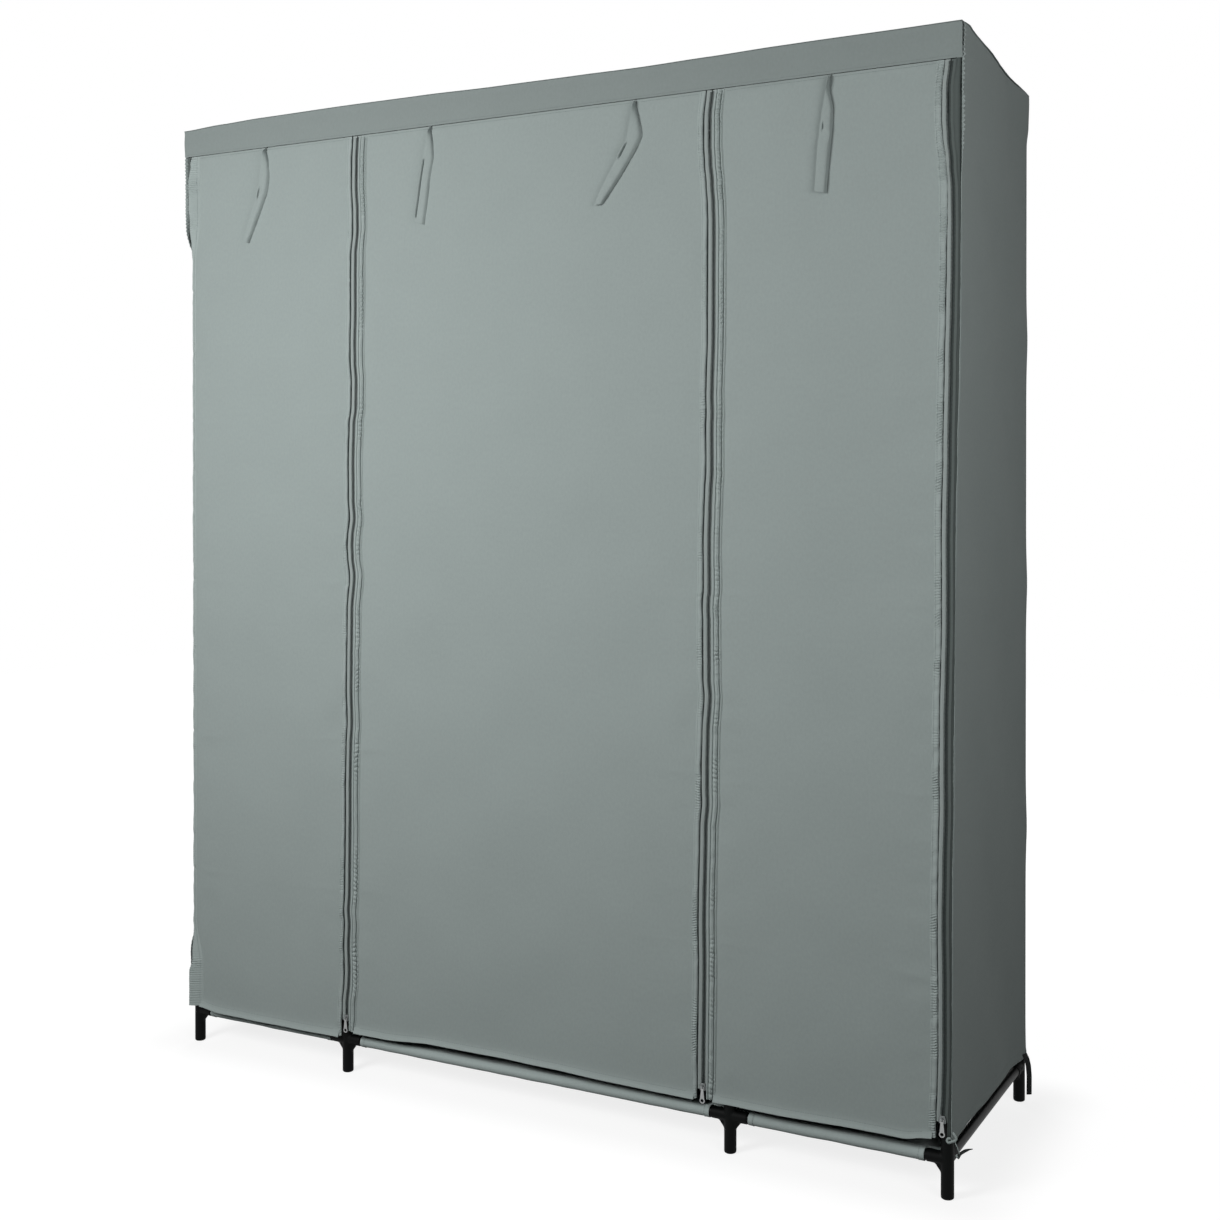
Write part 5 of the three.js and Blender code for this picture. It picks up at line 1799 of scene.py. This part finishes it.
def build_string(name, line, radius, finish):
    """A string that ends in a small knot."""
    shape = add_cord(Shape(), line, radius)
    knot = [(0, 0.0012), (0.0012, 0.0026), (0.0040, 0.0026), (0.0056, 0.0012)]
    half = [knot[-1][0] / 2, 0, 0]
    add_turned(shape, line[-1] - half, line[-1] + half, knot, 16)
    place_piece(name, shape.mesh(name), finish, FRAME)


def build_ribbon(name, line, half_width, finish, cloth):
    """A flat ribbon. The one named leaf narrows to its tip."""
    side = math.copysign(0.9, line[0, 0])
    facing = FORWARD if line[0, 1] < 0 else np.array([side * 0.5, -0.85, 0.0])
    across = unit(np.cross(unit(np.gradient(line, axis=0)), facing))
    narrowed = 0.8 * ease(np.linspace(0, 1, RIBBON_ROWS), 0.6, 1.0)
    taper = 1 - narrowed if "leaf" in name else np.ones(RIBBON_ROWS)
    shares = np.linspace(-1, 1, 5)
    grid = line[:, None] + across[:, None] * shares[None, :, None] * (half_width * taper)[:, None, None]
    grid = grid + facing * (0.0006 * (1 - shares ** 2))[None, :, None]
    piece = place_cloth(name, grid, cloth.thickness, finish)


def build_corner_ribbons(cloth, finishes):
    """The ribbons at the cover's bottom corners, and the knotted string at the front right one."""
    for name, finish, half_width, points in CORNER_RIBBONS:
        line = eased_line(points, RIBBON_ROWS)
        if "string" in name:
            build_string(name, line, half_width, finishes[finish])
        else:
            build_ribbon(name, line, half_width, finishes[finish], cloth)


# Stage: each lamp's place, the point that it faces, and the side of its square
LAMPS = {
    "key": ((-0.725, -2.057, 1.493), (0, -0.2, 1.0), 0.8),
    "fill": ((2.051, -1.313, 1.46), (0.75, -0.1, 1.35), 1.0),
    "rear": ((-1.6, 2.2, 1.9), (0, 0.2, 0.9), 1.4),
}
# The floor's glow by distance from the wardrobe: from and to a distance, from and to an amount. Lower glow
# near the wardrobe paints a soft shadow round its footprint; the second ramp adds glow further out.
FLOOR_GLOW, FLOOR_FAR_GLOW = (0.0, 0.14, 0.78, 0.93), (0.3, 1.2, 0.0, 0.10)
FLOOR_HALF, GLOW_STRENGTH, WHITE = 6.0, 1.06, (1, 1, 1, 1)


def place_lamp(name, place, target, size, power):
    """A square soft lamp that faces a point."""
    lamp = bpy.data.lights.new(name, "AREA")
    lamp.shape = "SQUARE"
    lamp.size = size
    lamp.energy = power
    holder = bpy.data.objects.new(name, lamp)
    bpy.context.scene.collection.objects.link(holder)
    holder.location = place
    holder.rotation_euler = (Vector(target) - holder.location).to_track_quat("-Z", "Y").to_euler()


def build_world(sizes):
    """Plain light from all round, and white wherever the camera sees past the stage."""
    world = bpy.data.worlds.new("studio")
    bpy.context.scene.world = world
    world.use_nodes = True
    sky = Finish("studio", world.node_tree)
    seen = sky.seen_by("Is Camera Ray", "Is Glossy Ray", "Is Transmission Ray")
    around = sky.node("ShaderNodeBackground", None, {"Color": WHITE, "Strength": sizes.ambient})
    white = sky.node("ShaderNodeBackground", None, {"Color": WHITE, "Strength": 1.0})
    both = sky.mix(seen, around, white)
    sky.feed(world.node_tree.nodes["World Output"].inputs["Surface"], both.outputs[0])


def floor_paper(sizes):
    """Pale paper that the camera sees as white. Near the wardrobe its glow is lower, a painted shadow, and
    its lit part keeps the wardrobe's real shadow.
    """
    paper = Finish("floor_paper")
    place = paper.solid_place()
    split = paper.node("ShaderNodeSeparateXYZ", None, {"Vector": place})
    across, along = paper.amount(split.outputs["X"]), paper.amount(split.outputs["Y"])
    beside = (across.math("ABSOLUTE", across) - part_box("cover_top")[1].x).at_least(0.0)
    ahead = (along.math("ABSOLUTE", along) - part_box("foot_rear_left_end")[1].y).at_least(0.0)
    away = (beside * beside + ahead * ahead).power(0.5)
    # Less glow near the wardrobe: a painted shadow round its footprint, on top of the real shadow in the lit
    # part.
    share = paper.ramp(away, *FLOOR_GLOW) + paper.ramp(away, *FLOOR_FAR_GLOW)
    seen = paper.seen_by("Is Camera Ray", "Is Glossy Ray")
    grain = paper.noise(place, 60, 4)
    colour = paper.blend(scaled(sizes.floor_colour, 0.99), scaled(sizes.floor_colour, 1.01), grain)
    paper.surface(Base_Color=colour, Roughness=0.9, Specular_IOR_Level=0.0)
    glow = paper.node("ShaderNodeEmission", None, {"Color": WHITE, "Strength": GLOW_STRENGTH})
    lit = paper.node("ShaderNodeBsdfDiffuse", None, {"Color": WHITE})
    both = paper.mix(seen, paper.shader, paper.mix(share, lit, glow))
    paper.feed(paper.tree.nodes["Material Output"].inputs["Surface"], both.outputs[0])
    return paper.material


def build_floor(sizes):
    """The floor."""
    half = FLOOR_HALF
    corners = [(-half, -half, 0), (half, -half, 0), (half, half, 0), (-half, half, 0)]
    mesh = bpy.data.meshes.new("floor")
    mesh.from_pydata(corners, [], [(0, 1, 2, 3)])
    mesh.materials.append(floor_paper(sizes))
    floor = bpy.data.objects.new("floor", mesh)
    bpy.context.scene.collection.objects.link(floor)


def build_stage(sizes):
    """The world, floor, lamps and camera."""
    scene = bpy.context.scene
    scene.view_settings.view_transform = "Standard"
    build_world(sizes)
    build_floor(sizes)
    for name, (place, target, size) in LAMPS.items():
        place_lamp(name, place, target, size, getattr(sizes, f"{name}_power"))
    lens = bpy.data.cameras.new("camera")
    lens.sensor_width = 36
    lens.lens = sizes.lens
    lens.shift_x, lens.shift_y = sizes.shift
    camera = bpy.data.objects.new("camera", lens)
    camera.location = sizes.camera_place
    camera.rotation_euler = sizes.camera_turn
    scene.collection.objects.link(camera)
    scene.camera = camera


FINISHES = {}


def finishes_of(scene):
    """The materials of the wardrobe, made once."""
    if FINISHES:
        return FINISHES
    cloth, zips, tubes = scene.wardrobe_cloth, scene.wardrobe_zips, scene.wardrobe_frame
    cloths = {
        "cover": ("cover_cloth", cloth.cover_colour, 1),
        # The doubled finish is the cover's cloth 1.12 times lighter: a painted highlight on hems, folds,
        # bands and the corner tape.
        "doubled": ("doubled_cloth", cloth.cover_colour, 1.12),
        # The header is the cover's cloth at 0.78 of its colour: painted shade on the band.
        "header": ("header_cloth", cloth.cover_colour, 0.78),
        # The strip finish: painted shade of the hollow beside the corner zips.
        "strip": ("zip_strip_cloth", cloth.strip_painted_shade_colour, 1),
        "dark_ribbon": ("dark_ribbon", cloth.ribbon_colour, 1),
        # The shelves' cloth is shown 1.3 times lighter: painted light standing for the light on the sleeves.
        "shelf": ("shelf_cloth", cloth.shelf_colour, 1.3),
    }
    for name, (material, colour, shade) in cloths.items():
        FINISHES[name] = cloth_finish(material, scaled(colour, shade), cloth.bond_pitch)
    FINISHES.update({
        "thread": thread_finish("sewing_thread", tuple(cloth.thread_colour)),
        "tape": tape_finish("zip_tape_weave", tuple(zips.tape_colour)),
        "teeth": nylon_finish("zip_nylon", tuple(zips.teeth_colour)),
        "metal": metal_finish("plated_pull", tuple(zips.metal_colour), 0.38),
        "slider": metal_finish("plated_slider", tuple(zips.slider_colour), 0.4),
        "plastic": plastic_finish("black_plastic", tuple(tubes.plastic_colour)),
        "paint": paint_finish("black_paint", tuple(tubes.paint_colour)),
    })
    return FINISHES


class WARDROBE_OT_stage(bpy.types.Operator):
    """Make the floor, light and camera"""

    bl_idname = "wardrobe.stage"
    bl_label = "Stage"

    def execute(self, context):
        build_stage(context.scene.wardrobe_stage)
        return {"FINISHED"}


class WARDROBE_OT_frame(bpy.types.Operator):
    """Make the posts, rails, rods and moulded connectors"""

    bl_idname = "wardrobe.frame"
    bl_label = "Frame"

    def execute(self, context):
        sizes, finishes = context.scene.wardrobe_frame, finishes_of(context.scene)
        for build in (build_posts, build_rails, build_hanging_rod, build_shelf_rods):
            build(sizes, finishes)
        return {"FINISHED"}


class WARDROBE_OT_shelves(bpy.types.Operator):
    """Make the cloth shelves"""

    bl_idname = "wardrobe.shelves"
    bl_label = "Shelves"

    def execute(self, context):
        scene = context.scene
        cloth, finishes = scene.wardrobe_cloth, finishes_of(scene)
        for bay in BAYS:
            plan = ShelfPlan(bay, BOTTOM_RAIL_Z, False, cloth.shelf_sag)
            build_shelf(f"bottom_shelf_{bay}", plan, cloth, finishes)
        for bay in SIDE_BAYS:
            for number, level in enumerate(SHELF_LEVELS, 1):
                plan = ShelfPlan(bay, level, True, cloth.shelf_sag)
                build_shelf(f"side_shelf_{bay}_{number}", plan, cloth, finishes)
        return {"FINISHED"}


class WARDROBE_OT_cover(bpy.types.Operator):
    """Make the cover's top, header, sides and back"""

    bl_idname = "wardrobe.cover"
    bl_label = "Cover"

    def execute(self, context):
        cloth, finishes = context.scene.wardrobe_cloth, finishes_of(context.scene)
        top_grid = build_top(cloth, finishes)
        build_header(top_grid, cloth, finishes)
        build_side(1, cloth, finishes)
        build_side(-1, cloth, finishes)
        build_back(cloth, finishes)
        return {"FINISHED"}


class WARDROBE_OT_doors(bpy.types.Operator):
    """Make the three doors with the doubled strips beside their zips"""

    bl_idname = "wardrobe.doors"
    bl_label = "Doors"

    def execute(self, context):
        cloth, finishes = context.scene.wardrobe_cloth, finishes_of(context.scene)
        for name in DOOR_ZIPS:
            build_door(name, cloth, finishes)
        for name, zip_name, side, section, wave in STRIPS:
            build_strip(name, ZIPS[zip_name], side, section, wave, cloth, finishes)
        return {"FINISHED"}


class WARDROBE_OT_zips(bpy.types.Operator):
    """Make the zips, their sliders and pulls"""

    bl_idname = "wardrobe.zips"
    bl_label = "Zips"

    def execute(self, context):
        scene, finishes = context.scene, finishes_of(context.scene)
        for name, line in ZIPS.items():
            build_tapes(name, line, scene.wardrobe_cloth, finishes)
            build_teeth(name, line, scene.wardrobe_zips, finishes)
            build_slider(name, finishes)
            build_pull(name, finishes)
        return {"FINISHED"}


class WARDROBE_OT_ties(bpy.types.Operator):
    """Make the ribbons that tie up a rolled door"""

    bl_idname = "wardrobe.ties"
    bl_label = "Ties"

    def execute(self, context):
        build_ties(context.scene.wardrobe_cloth, finishes_of(context.scene))
        build_corner_ribbons(context.scene.wardrobe_cloth, finishes_of(context.scene))
        return {"FINISHED"}


OPERATORS = (
    WARDROBE_OT_stage, WARDROBE_OT_frame, WARDROBE_OT_shelves, WARDROBE_OT_cover, WARDROBE_OT_doors,
    WARDROBE_OT_zips, WARDROBE_OT_ties)
SETTINGS = {
    "wardrobe_cloth": ClothSettings, "wardrobe_zips": ZipSettings, "wardrobe_frame": FrameSettings,
    "wardrobe_stage": StageSettings}


class WARDROBE_PT_panel(bpy.types.Panel):
    """Buttons that build the wardrobe"""

    bl_label = "Fabric wardrobe"
    bl_idname = "WARDROBE_PT_panel"
    bl_space_type = "VIEW_3D"
    bl_region_type = "UI"
    bl_category = "Wardrobe"

    def draw(self, context):
        for operator in OPERATORS:
            self.layout.operator(operator.bl_idname)


def register():
    for group in SETTINGS.values():
        bpy.utils.register_class(group)
    for name, group in SETTINGS.items():
        setattr(bpy.types.Scene, name, PointerProperty(type=group))
    for operator in OPERATORS:
        bpy.utils.register_class(operator)
    bpy.utils.register_class(WARDROBE_PT_panel)


def unregister():
    bpy.utils.unregister_class(WARDROBE_PT_panel)
    for operator in reversed(OPERATORS):
        bpy.utils.unregister_class(operator)
    for name, group in SETTINGS.items():
        delattr(bpy.types.Scene, name)
        bpy.utils.unregister_class(group)


def main():
    """Builds the stage and every piece."""
    register()
    for operator in OPERATORS:
        group, name = operator.bl_idname.split(".")
        getattr(getattr(bpy.ops, group), name)()


if __name__ == "__main__":
    main()
